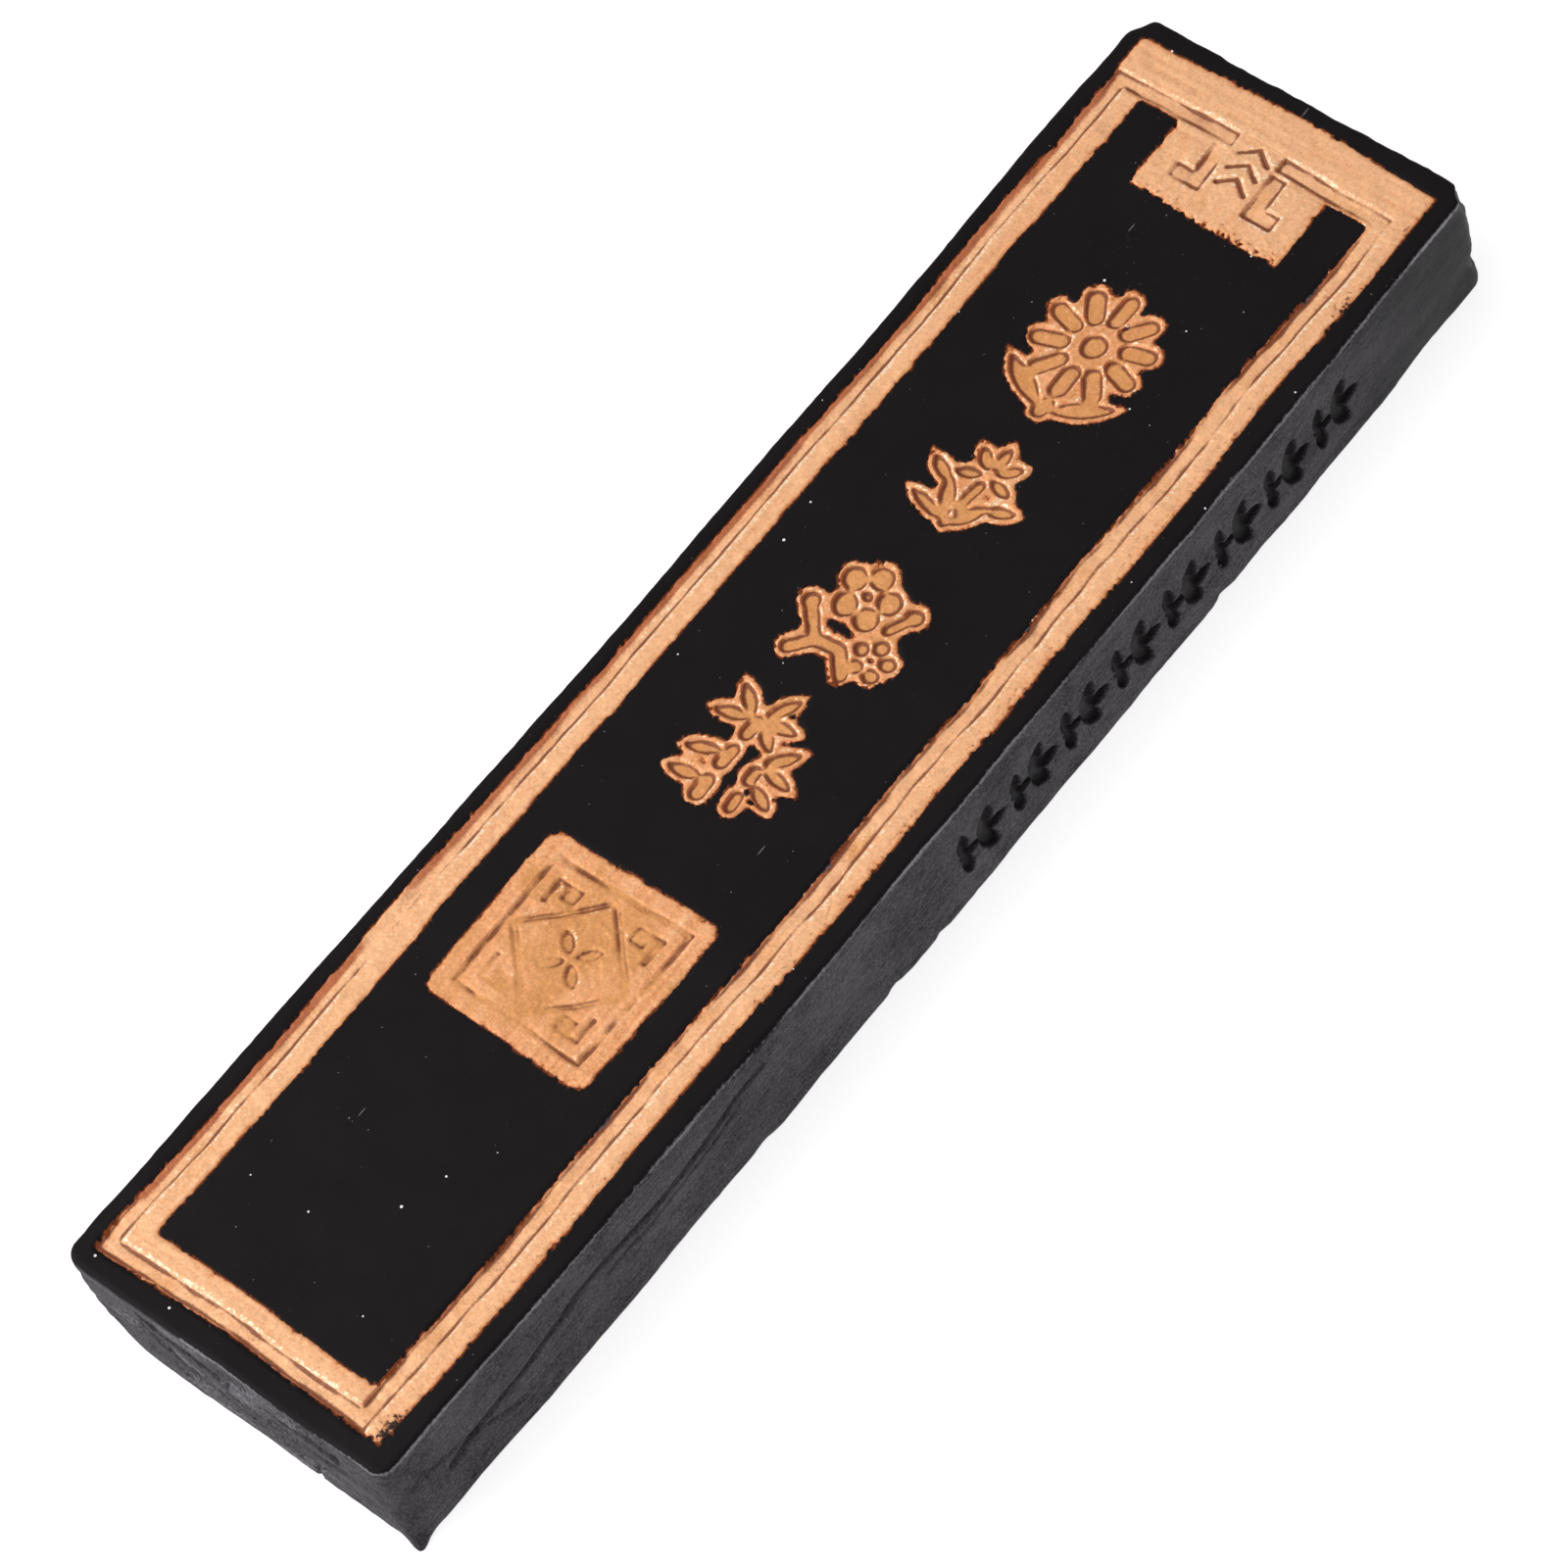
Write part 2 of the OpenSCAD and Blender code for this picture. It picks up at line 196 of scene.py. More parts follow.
def cast(node, starts, way):
    """How far rays go in the direction way before they meet a node, NaN where they miss it."""
    tree = BVHTree.FromObject(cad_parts[node], evaluated)
    reach = np.full(starts.shape[:2], np.nan)
    box_low, box_high = (np.array(corner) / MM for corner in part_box(node))
    across = [axis for axis in range(3) if way[axis] == 0]
    beyond_low = starts[..., across] > box_low[across]
    short_of_high = starts[..., across] < box_high[across]
    for i, j in np.argwhere(np.all(beyond_low & short_of_high, axis=2)):
        hit = tree.ray_cast(Vector(starts[i, j]) * MM, way)
        if hit[0] is not None:
            reach[i, j] = hit[3] / MM
    return reach


def ray_starts(axis_u, axis_v, place):
    """The points place(u, v) of a map as an array."""
    u, v = np.meshgrid(axis_u, axis_v, indexing="ij")
    return np.stack(np.broadcast_arrays(*place(u, v)), axis=-1).astype(float)


print(f"rays start {CLEAR:.0f} mm off a face")

# %% Where the coats lie
FRONT = ["border_gilding", "fret_gilding", "chrysanthemum_gilding", "orchid_gilding",
         "plum_gilding", "bamboo_gilding", "seal_gilding"]
PLANTS = FRONT[2:6]
BACK = ["back_border_gilding", "back_bough_gilding", "back_blossom_gilding",
        "back_bud_gilding", "back_moon_gilding"]


def drawn(node, front):
    """Two maps: where a node's coat is drawn, and how deep its lines are, 1 at their floor."""
    start_z = THICK + CLEAR if front else -CLEAR
    starts = ray_starts(map_x, map_y, lambda u, v: (u, v, start_z))
    reach = cast(node, starts, Vector((0, 0, -1 if front else 1)))
    area = ~np.isnan(reach)
    level = CLEAR - COAT if front else CLEAR
    deep = np.where(area, reach - level, 0)
    print(f"{node}: {area.sum() * CELL ** 2:.0f} mm2 painted, lines {deep.max():.2f} mm deep")
    return area.astype(float), np.clip(deep / deep.max(), 0, 1)


area_of, lines_of = {}, {}
for name in FRONT + BACK:
    area_of[name], lines_of[name] = drawn(name, name in FRONT)

# %% [markdown]
# ## The brushed coats
# A brush leaves a coat that is thick in the middle and thins out at a wandering edge. The edge map
# says how far a point is inside that edge, in millimetres, and is negative outside. It is the drawn
# outline, moved about slowly by the unsteady hand and finely by the hairs of the brush.

# %% Edges of the paint
EDGE_BLUR = 0.12                            # mm
HAND = 0.09                                 # mm the carver's and the painter's hand wanders
HAIRS = 0.032                               # mm the hairs of the brush wander
LINE_BLUR = 0.07                            # mm, softness of the line's walls
LINE_DEEP = 0.20                            # mm
HALO = 0.07                                 # mm that the paint round a plant stays inside its outline
MISSED = 0.45                               # mm that a missed spot eats into the paint
face_u, face_v = np.meshgrid(map_x, map_y, indexing="ij")
hand_u = face_u + HAND * (ripple(FACE, 3.5) + 0.35 * ripple(FACE, 0.8))
hand_v = face_v + HAND * (ripple(FACE, 3.5) + 0.35 * ripple(FACE, 0.8))


def brush_edge(area, ragged):
    """Map of the distance inside the brushed edge; ragged is a map of extra wear along it.

    The slope of the blurred area turns it into a distance near the edge.
    """
    near = blur(area, EDGE_BLUR)
    edge = (look_up(near, hand_u, hand_v) - 0.5) * EDGE_BLUR * math.sqrt(2 * math.pi)
    band = hump(2 * blur(area, 0.35) - 1)
    hairs = 0.5 * ripple(FACE, 0.2) + 0.9 * ripple(FACE, 0.08)
    return edge + band * (HAIRS * hairs + ragged * (0.45 - np.abs(hairs)))


def ragged_places():
    """Where the front's painter was careless: beyond the -Y line, round the fret and at one corner."""
    x0, y0 = (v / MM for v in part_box("border_gilding")[0][:2])
    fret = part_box("fret_gilding")[0].x / MM
    wear = 0.05 * smooth((y0 + 1.2 - face_v) / 0.6)
    wear += 0.12 * hump((face_u - fret) / 1.2)
    wear += 0.16 * hump((face_u - x0 - 0.8) / 2.5) * hump((face_v - y0 - 0.2) / 2.2)
    wear += 0.04 * hump((face_u - x0 - 1.2) / 1.4)
    wear += 0.03 * (np.abs(face_v) < y0 / -2)
    return wear


careless = ragged_places()
# the frame and its fret were painted in one go, so they share one edge
TOGETHER = {"border_gilding": "fret_gilding", "fret_gilding": "border_gilding"}
edge_of = {}
for name in FRONT + BACK:
    if name == "fret_gilding":
        edge_of[name] = edge_of[TOGETHER[name]]
    else:
        area = area_of[name] + (area_of[TOGETHER[name]] if name in TOGETHER else 0)
        edge_of[name] = brush_edge(np.minimum(area, 1), careless if name in FRONT else 0)
    if name in PLANTS:
        missed = smooth((ripple(FACE, 0.24) - 2.1) / 0.6)
        level_ground = 1 - np.clip(2 * blur(lines_of[name], 0.1), 0, 1)
        edge_of[name] -= HALO + MISSED * missed * level_ground
front_edge, back_edge = (np.max([edge_of[name] for name in names], axis=0) for names in (FRONT, BACK))
front_inside, back_inside = (blur(np.minimum(sum(area_of[name] for name in names), 1), 0.25)
                             for names in (FRONT, BACK))
print(f"painted: front {(front_edge > 0).sum() * CELL ** 2:.0f} mm2, "
      f"back {(back_edge > 0).sum() * CELL ** 2:.0f} mm2")

# %% [markdown]
# The lines of the relief belong to the bar and to the coat alike, so both faces get one shared map
# of the depth below the level ground. The mould was carved by hand: its lines wander, their floors
# are uneven, and the ground between them is never quite flat.

# %% Relief of both faces
# how unevenly a drawing's lines are worn, and how shallow they were cut
WORN = {"border_gilding": 0.35, "fret_gilding": 0.5, "seal_gilding": 0.75}
SHALLOW = {"fret_gilding": 0.85, "seal_gilding": 0.52}
WORN_ELSEWHERE = 0.15


def floor_of(name):
    """Map of a node's lines as the hand cut them, 1 on their floors; plants have wide floors."""
    plant = name in PLANTS
    soft = blur(lines_of[name], 0.12 if plant else LINE_BLUR)
    deep = smooth((soft - 0.1) / 0.32) if plant else np.clip(1.5 * soft, 0, 1)
    return look_up(deep, hand_u, hand_v)


def relief(names):
    """Depth of the ground below the level face, in mm."""
    wear = 0.5 * ripple(FACE, 1.3) + 0.3 * ripple(FACE, 0.4)
    deep = np.zeros(FACE)
    for name in names:
        fade = np.clip(1 + WORN.get(name, WORN_ELSEWHERE) * (wear - 0.5), 0.1, 1.2)
        deep = np.maximum(deep, floor_of(name) * fade * SHALLOW.get(name, 1))
    return LINE_DEEP * deep


front_relief, back_relief = relief(FRONT), relief(BACK)
# the outer wall of the +Y channel is a long slope
slope_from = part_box("border_gilding")[1].y / MM - 1.1
long_slope = smooth((face_v - slope_from) / 0.3) * smooth((LENGTH / 2 - 4.5 - np.abs(face_u)) / 1.5)
front_relief += long_slope * (blur(front_relief, 0.25) - front_relief)
front_swell = 0.02 * ripple(FACE, 3.5) + 0.008 * ripple(FACE, 0.9)
ripple(FACE, 3.5)                           # an unused draw that keeps the later ones the same
# the brush went along the stick, but across it at both ends
STREAK, STRETCH = 0.09, 20
across = ripple(FACE[::-1], STREAK, STRETCH).T
brushed = np.where(np.abs(face_u) > LENGTH / 2 - 5.5, across, ripple(FACE, STREAK, STRETCH))
brush_marks = 0.006 * brushed + 0.012 * ripple(FACE, 0.3) + 0.007 * ripple(FACE, 0.08)
print(f"front relief down to {front_relief.max():.2f} mm")

# %% [markdown]
# The cake bent a little as it dried: its middle lies some tenths of a millimetre to one side, and
# the pressed picture lies straighter than the edges. The bend is a parabola along the stick.

# %% The bend
BOW_EDGE = 0.38                             # mm
BOW_PRINT = 0.15                            # mm


def bow(x, amount):
    """How far the bend moves a point at x sideways, most in the middle."""
    return -amount * (1 - (2 * x / LENGTH) ** 2)


print(f"bent {bow(0, BOW_EDGE):.2f} mm at the edges' middle, {bow(0, BOW_PRINT):.2f} mm in the picture")

# %% [markdown]
# The corners of such a cake never stay whole: one is worn round, one was squeezed out into a thin
# flash at the seam of the mould, and two broke when the head was trimmed. Small chips also run along
# the lower right edge. Soft dents move whole corners, and the coats near them go along.

# %% Worn corners
TAIL, HEAD, LEFT, RIGHT = low[0], high[0], high[1], low[1]


def dent(points, centre, radius, push):
    """Moves the points round a centre by push, most in the middle."""
    away = np.linalg.norm((points - centre) / radius, axis=1)
    return points + hump(np.minimum(away, 1))[:, None] * push


def cut_corner(points, through, normal, soft):
    """Wears the bar down to a plane, with a soft edge."""
    normal = np.array(normal) / np.linalg.norm(normal)
    above = (points - through) @ normal
    worn = above + soft * np.log1p(np.exp(np.clip(-above / soft, -30, 30)))
    return points - np.maximum(worn, 0)[:, None] * normal


def battered(new, bared=0.0):
    """The corners: one worn round, one squeezed into a flash, two broken at the head.

    Paint is worn off the round corner, so a coat there goes bared mm deeper than the bar.
    """
    new = cut_corner(new, (TAIL + 1.1 + bared, LEFT - 1.1 - bared, 0.8 + bared), (-1, 1, -1.1), 0.25)
    new = dent(new, (TAIL, RIGHT, 0.2), (1.6, 1.4, 1.6), (-0.25, -0.2, 0))
    new = dent(new, (TAIL, RIGHT, 0.1), (1.0, 0.9, 0.7), (-0.35, -0.45, 0))
    new = dent(new, (TAIL, RIGHT, 3.4), (1.4, 1.6, 2.0), (0.3, 0.3, 0))
    new = dent(new, (HEAD - 0.3, LEFT, THICK), (1.5, 1.5, 2), (-0.35, -0.3, -0.15))
    new = dent(new, (HEAD, RIGHT, THICK - 0.5), (1.2, 1.4, 1.6), (-0.45, 0.35, -0.1))
    new = dent(new, (HEAD, RIGHT, 2.2), (1.2, 1.4, 1.6), (-0.3, 0.35, 0))
    for x, size in ((TAIL + 29, 1.2), (TAIL + 40.5, 0.9), (TAIL + 44.5, 0.7), (TAIL + 70, 1.0)):
        new = dent(new, (x, RIGHT, 0), (size, 0.8, 0.8), (0, 0.2, 0.12))
    new[:, 2] = np.clip(new[:, 2], 0, None)
    return new


print("worn corners move up to", battered(np.array([[TAIL, RIGHT, 0.0]]))[0].round(2))

# %% [markdown]
# ## Making a coat
# Each coat is a sheet cut from a grid. Its height is the relief plus the paint, and past the brushed
# edge it dives below the ground, so that the edge that shows is where the two surfaces meet, as
# paint does on a real ground. Solidify then gives it a thickness and closes it.

# %% Height of the paint
FULL = 0.07                                 # mm that a full coat stands above the ground
FEATHER = 0.16                              # mm in which the paint thins out to its edge
SUNK = 0.02                                 # mm that the sheet lies lower, so that thin paint ends cleanly
DIVE = 0.9                                  # slope of the sheet below the ground


def coat_height(edge):
    """Height of the paint above the bare ground."""
    return FULL * smooth(edge / FEATHER + 0.1) - SUNK + DIVE * np.minimum(edge, 0)


print("paint at 0, 0.1 and 0.3 mm inside its edge:", coat_height(np.array([0, 0.1, 0.3])).round(3), "mm")

# %% Sheets and pieces
OVERHANG = 0.5                              # mm of grid past a node's box


def grid_over(node, cell):
    """A flat grid over a node's box, in mm, with cells of about the given size."""
    corner, far = (np.array(c)[:2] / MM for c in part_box(node))
    corner, far = corner - OVERHANG, far + OVERHANG
    count = np.ceil((far - corner) / cell).astype(int)
    sheet = bmesh.new()
    bmesh.ops.create_grid(sheet, x_segments=int(count[0]), y_segments=int(count[1]), size=0.5)
    bmesh.ops.scale(sheet, vec=Vector((*(far - corner), 1)), verts=sheet.verts)
    bmesh.ops.translate(sheet, vec=Vector((*((far + corner) / 2), 0)), verts=sheet.verts)
    return sheet


def points_of(mesh):
    """The vertices of a bmesh or a mesh as an array, in its own unit."""
    if isinstance(mesh, bmesh.types.BMesh):
        return np.array([v.co[:] for v in mesh.verts])
    flat = np.empty(len(mesh.vertices) * 3)
    mesh.vertices.foreach_get("co", flat)
    return flat.reshape(-1, 3)


def move_to(mesh, places):
    """Moves each vertex to its new place."""
    for vertex, place in zip(mesh.verts, places):
        vertex.co = place


def finish_piece(name, mesh, node, material):
    """Turns a bmesh in mm into the piece that stands for a node."""
    bmesh.ops.scale(mesh, vec=Vector((MM, MM, MM)), verts=mesh.verts)
    data = bpy.data.meshes.new(name)
    mesh.to_mesh(data)
    mesh.free()
    data.shade_smooth()
    data.materials.append(material)
    piece = bpy.data.objects.new(name, data)
    bpy.context.scene.collection.objects.link(piece)
    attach(piece, "root")
    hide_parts(node)
    return piece


def note(piece, name, values):
    """Stores one number for each vertex, for the materials to read."""
    store = piece.data.attributes.new(name, "FLOAT", "POINT")
    store.data.foreach_set("value", values.astype(np.float32))


grid = grid_over("fret_gilding", 1.0)
print(f"a grid of 1 mm cells over the fret has {len(grid.faces)} cells")
grid.free()

# %% Coat maker
SHEET = 0.2                                 # mm, thickness of a finished coat
SEAM_DIVE = 0.15                            # mm, how far two coats of one painting pass under each other
SKIRT = 0.06                                # share of paint under which the sheet ends
BARED = 0.15                                # mm that a coat goes deeper where a corner is worn round
BACK_SUNK = 0.09                            # mm, bare ground of the back under the level that it rests on
REST = 0.004                                # mm that the highest paint of the back stays off the table


def keep_painted(sheet, field):
    """Deletes the cells outside the paint and its skirt."""
    points = points_of(sheet)
    outside = look_up(field, points[:, 0], points[:, 1]) < 0
    drop = [vertex for vertex, out in zip(sheet.verts, outside) if out]
    bmesh.ops.delete(sheet, geom=drop, context="VERTS")
    loose = [vertex for vertex in sheet.verts if not vertex.link_faces]
    bmesh.ops.delete(sheet, geom=loose, context="VERTS")


def separate_corners(sheet):
    """Deletes faces that touch the rest at one corner only, so that the solid closes cleanly."""
    while True:
        pinched = [v for v in sheet.verts if sum(e.is_boundary for e in v.link_edges) > 2]
        if not pinched:
            return
        bmesh.ops.delete(sheet, geom=pinched, context="VERTS")


def coat(name, cell, front):
    """One coat of gilding, as a closed sheet with its relief."""
    sheet = grid_over(name, cell)
    own = blur(area_of[name], 0.2)
    if name in TOGETHER:
        past = blur(area_of[TOGETHER[name]], 0.2) - own
        keep_painted(sheet, np.minimum(past + 2 * own - SKIRT, 0.6 - past))
    else:
        keep_painted(sheet, own - SKIRT)
    separate_corners(sheet)
    points = points_of(sheet)
    x, y = points[:, 0], points[:, 1]
    edge = look_up(edge_of[name], x, y)
    deep = look_up(front_relief if front else back_relief, x, y)
    paint = coat_height(edge) + look_up(brush_marks, x, y) * smooth(edge / 0.1)
    if name in TOGETHER:
        paint -= SEAM_DIVE * np.maximum(look_up(past, x, y), 0)
    if front:
        z = THICK - deep + look_up(front_swell, x, y) + paint
    else:
        z = np.maximum(deep + BACK_SUNK - paint, REST)
    move_to(sheet, battered(np.stack([x, y + bow(x, BOW_PRINT), z], axis=1), BARED))
    if not front:
        bmesh.ops.reverse_faces(sheet, faces=sheet.faces)
    sheet.normal_update()
    bmesh.ops.solidify(sheet, geom=sheet.faces, thickness=SHEET)
    return sheet


# %% How the paint lies
LAMP_SIDE = (-0.67, 0.74)                  # the lamp's side across the face; it places painted glints and painted shade on the walls
LOADED = {"seal_gilding": -1.8}             # how full of powder the brush was, beside its own streaks
OCHRE_SHARE = {"border_gilding": 0.25, "fret_gilding": 0.3, "seal_gilding": 0.5,
               "back_border_gilding": 0.3}  # how much of the ochre settles in a drawing's lines
FILM = 0.55                                 # mm, width of the dark orange strip outside the +Y line: thin paint, with painted shade
FILM_AT = 1.35                              # mm from the edge of the bar to its middle
pools = ripple(FACE, 0.7) + 0.5 * ripple(FACE, 0.25)
drift = blur(pools, 1.5)
print(f"pools of settled paint from {pools.min():.1f} to {pools.max():.1f}")


def settled_paint(name, x, y):
    """How much the paint has settled smooth and ochre: in the lines' floors, and in pools."""
    share = OCHRE_SHARE.get(name, 1)
    pool = look_up(pools, x, y)
    floor = look_up(floor_of(name), x, y) * share
    if name == "seal_gilding":
        # the seal was filled more than the rest, most of all beside its middle
        middle = [(a + b) / 2 / MM for a, b in zip(*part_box(name))]
        floor = floor + 0.3 + 0.9 * hump(np.hypot(x - middle[0] - 1.4, y - middle[1]) / 5.5)
    pooling = 0.12 if "border" in name else 0.2
    return np.clip(floor + pooling * pool - 0.05, 0, 1)


def describe_coat(piece, name, front):
    """Notes how far inside the edge a point is, how the ground bends there and how it faces the lamp."""
    points = points_of(piece.data) / MM
    x, y = points[:, 0], points[:, 1]
    y = y - bow(x, BOW_PRINT)
    deep = front_relief if front else back_relief
    slope_x, slope_y = np.gradient(deep, CELL)
    # how much the ground slopes towards the lamp: walls facing it get painted glints, walls turned away get
    # painted shade
    lamp_facing = look_up(slope_x * LAMP_SIDE[0] + slope_y * LAMP_SIDE[1], x, y)
    if name == "border_gilding":
        # outside the +Y line a dark orange strip of thin paint and painted shade, with painted glints beside
        # it
        from_film = high[1] - FILM_AT - y
        film = 0.85 + 0.25 * look_up(drift, x, y) / drift.std()
        film *= smooth((LENGTH / 2 - 3 - np.abs(x)) / 3)
        lamp_facing += film * (0.5 * hump((from_film - 0.75) / 0.45) - hump(from_film / FILM))
    thinned = 0.05 if name == "seal_gilding" else 0.015
    note(piece, "inside", look_up(edge_of[name], x, y) - thinned)
    note(piece, "lamp_facing", lamp_facing)
    # the brush was dry beyond the -Y line and left small holes there
    dry = 0.055 * smooth((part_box("border_gilding")[0].y / MM + 0.75 - y) / 0.4)
    note(piece, "careless", look_up(careless, x, y) + dry if front else np.zeros(len(x)))
    curve = np.gradient(slope_x, CELL, axis=0)
    curve += np.gradient(slope_y, CELL, axis=1)
    bend = look_up(1.8 * blur(curve, 0.06), x, y)
    # bend places the painted glints on the lips and the painted shade in the creases; plants get less of
    # both
    note(piece, "bend", np.where(bend > 0, 0.4, 0.8) * bend if name in PLANTS else bend)
    note(piece, "settled", settled_paint(name, x, y))
    note(piece, "brushed", look_up(brushed, x, y) + LOADED.get(name, 0))


# %% [markdown]
# ## Materials
# Both finishes are node materials. Their patterns are placed by Object coordinates, sized from real
# millimetres, and steered by the numbers that the maps left on each piece.

# %% Node helper and colours
ATTRIBUTE, NOISE, CELLULAR = "ShaderNodeAttribute", "ShaderNodeTexNoise", "ShaderNodeTexVoronoi"
MATH, RANGE, MIX = "ShaderNodeMath", "ShaderNodeMapRange", "ShaderNodeMix"
SPLIT, PLACE = "ShaderNodeSeparateColor", "ShaderNodeTexCoord"
TURN, BUMP = "ShaderNodeMapping", "ShaderNodeBump"


def linear(hex_colour):
    """A linear colour from an sRGB hex value."""
    parts = [int(hex_colour[i:i + 2], 16) / 255 for i in (1, 3, 5)]
    return tuple(c / 12.92 if c <= 0.04045 else ((c + 0.055) / 1.055) ** 2.4 for c in parts) + (1,)


def add(tree, kind, inputs=None, out=0, **settings):
    """Adds a node and gives one of its outputs. Inputs are sockets to link or values to set."""
    made = tree.nodes.new(kind)
    for key, value in settings.items():
        setattr(made, key, value)
    for key, value in (inputs or {}).items():
        if isinstance(value, bpy.types.NodeSocket):
            tree.links.new(value, made.inputs[key])
        else:
            made.inputs[key].default_value = value
    return made.outputs[out]


def fresh(name):
    """An empty node material, its tree and its shader."""
    material = bpy.data.materials.new(name)
    material.use_nodes = True
    tree = material.node_tree
    return material, tree, tree.nodes["Principled BSDF"]


def per_mm(size):
    """The scale of a pattern whose lumps are size mm wide."""
    return 1 / (size * MM)


print("black of the cake:", [round(c, 4) for c in linear("#100e10")[:3]])

# %% [markdown]
# ### Copper powder paint
# The paint is flake copper in gum. The flakes lie nearly flat, so it is a soft half-metal: bright
# and peach-coloured where it is thick, with its glitter painted on as glints, and rusty where it is
# thin. The colour is built up in the steps of the next cells, from the ground up, as layers of Mix
# nodes. First comes the thickness: it grows from the edge inwards, grain by grain and along the
# streaks of the brush.

# %% Thick and thin paint
def thick_and_thin(tree, grain, marks):
    """Rust-coloured at the thin edge, where the black ground shows through, and peach inside."""
    thick = add(tree, RANGE, {"Value": marks["inside"], "From Min": -0.04, "From Max": 0.14})
    thick = add(tree, MATH, {0: grain, 1: 1.1, 2: thick}, operation="MULTIPLY_ADD")
    thick = add(tree, MATH, {0: marks["brushed"], 1: 0.07, 2: thick}, operation="MULTIPLY_ADD")
    thick = add(tree, RANGE, {"Value": thick, "From Min": 0.45, "From Max": 1.5})
    colour = add(tree, "ShaderNodeValToRGB", {"Fac": thick})
    stops = colour.node.color_ramp.elements
    stops[0].position, stops[0].color = 0.0, linear("#35190f")
    stops[1].position, stops[1].color = 1.0, linear("#ffc290")
    for position, shade in ((0.14, "#7d3819"), (0.28, "#c26834"), (0.46, "#ee9c60"), (0.75, "#fcb37c")):
        stops.new(position).color = linear(shade)
    return colour


# %% [markdown]
# In the floors of the lines the paint settled smooth and looks ochre. The walls that turn away from
# the lamp are given painted shade in dark orange. The creases at the foot of a wall get a dark line
# that is partly rust and partly painted shade.

# %% Ochre, film and rust
def ochre_and_painted_shade(tree, colour, grain, cloud, marks):
    """Ochre in the floors, painted shade in dark orange on the walls turned from the lamp, and a dark line
    in the creases, partly rust and partly painted shade.
    """
    pool = add(tree, MATH, {0: grain, 1: 0.35, 2: marks["settled"]}, operation="MULTIPLY_ADD")
    pool = add(tree, RANGE, {"Value": pool, "From Min": 0.4, "From Max": 0.95})
    ochre = add(tree, MIX, {0: cloud, 6: linear("#dd924f"), 7: linear("#f2ad6d")}, 2, data_type="RGBA")
    colour = add(tree, MIX, {0: pool, 6: colour, 7: ochre}, 2, data_type="RGBA")
    # painted shade: dark orange on the walls that turn away from the lamp
    turned_away_shade = add(tree, MATH, {0: grain, 1: -0.5, 2: marks["lamp_facing"]}, operation="MULTIPLY_ADD")
    turned_away_shade = add(tree, RANGE, {"Value": turned_away_shade, "From Min": -0.4, "From Max": -0.85, "To Max": 0.85})
    colour = add(tree, MIX, {0: turned_away_shade, 6: colour, 7: linear("#b55a2c")}, 2, data_type="RGBA")
    # a dark line in the creases at the foot of a wall: partly rust, partly painted shade
    crease_shade = add(tree, MATH, {0: cloud, 1: -7.0, 2: marks["bend"]}, operation="MULTIPLY_ADD")
    crease_shade = add(tree, MATH, {0: grain, 1: -4.0, 2: crease_shade}, operation="MULTIPLY_ADD")
    crease_shade = add(tree, RANGE, {"Value": crease_shade, "From Min": -6.6, "From Max": -10.0, "To Max": 0.9})
    return add(tree, MIX, {0: crease_shade, 6: colour, 7: linear("#7c3c1f")}, 2, data_type="RGBA")


# %% [markdown]
# Glitter is painted on as highlights: bright flakes on the lips of the lines and on the walls that
# face the lamp. Real flakes are a few hundredths of a millimetre wide; these are drawn large enough to
# be seen. Where the brush was dry it left rusty grains and pinholes.

# %% Glitter and dry spots
def painted_glints(tree, colour, flake, marks):
    """Painted highlights: single bright flakes on the lips, and on the walls that face the lamp."""
    glint_light = add(tree, MATH, {0: flake, 1: 9.0, 2: marks["bend"]}, operation="MULTIPLY_ADD")
    glint_light = add(tree, MATH, {0: marks["brushed"], 1: 0.9, 2: glint_light}, operation="MULTIPLY_ADD")
    glint_light = add(tree, MATH, {0: marks["lamp_facing"], 1: 4.0, 2: glint_light}, operation="MULTIPLY_ADD")
    glint_light = add(tree, RANGE, {"Value": glint_light, "From Min": 9.9, "From Max": 12.0})
    # the colour of the painted highlight
    return add(tree, MIX, {0: glint_light, 6: colour, 7: linear("#ffe3c2")}, 2, data_type="RGBA")


def dry_spots(tree, colour, place, grain, marks):
    """Rusty grains, and pinholes that show the black ground."""
    hole = add(tree, NOISE, {"Vector": place, "Scale": per_mm(0.35), "Detail": 5, "Roughness": 0.65})
    hole = add(tree, MATH, {0: marks["careless"], 1: 1.3, 2: hole}, operation="MULTIPLY_ADD")
    rusty = add(tree, MATH, {0: grain, 1: 0.5, 2: hole}, operation="MULTIPLY_ADD")
    rusty = add(tree, RANGE, {"Value": rusty, "From Min": 0.95, "From Max": 1.1, "To Max": 0.8})
    colour = add(tree, MIX, {0: rusty, 6: colour, 7: linear("#b9662f")}, 2, data_type="RGBA")
    hole = add(tree, RANGE, {"Value": hole, "From Min": 0.79, "From Max": 0.85})
    return add(tree, MIX, {0: hole, 6: colour, 7: linear("#2a1512")}, 2, data_type="RGBA")


# %% [markdown]
# The finish puts the layers together. Each flake lies a little differently, so it gets its own
# brightness and gloss, and the hairs of the brush left streaks. The powder lies in gum, which hides
# most of its metal, so Metallic stays low.

# %% Copper paint
FLAKE = 0.13                                # mm, as wide as the flakes and their painted glints are drawn
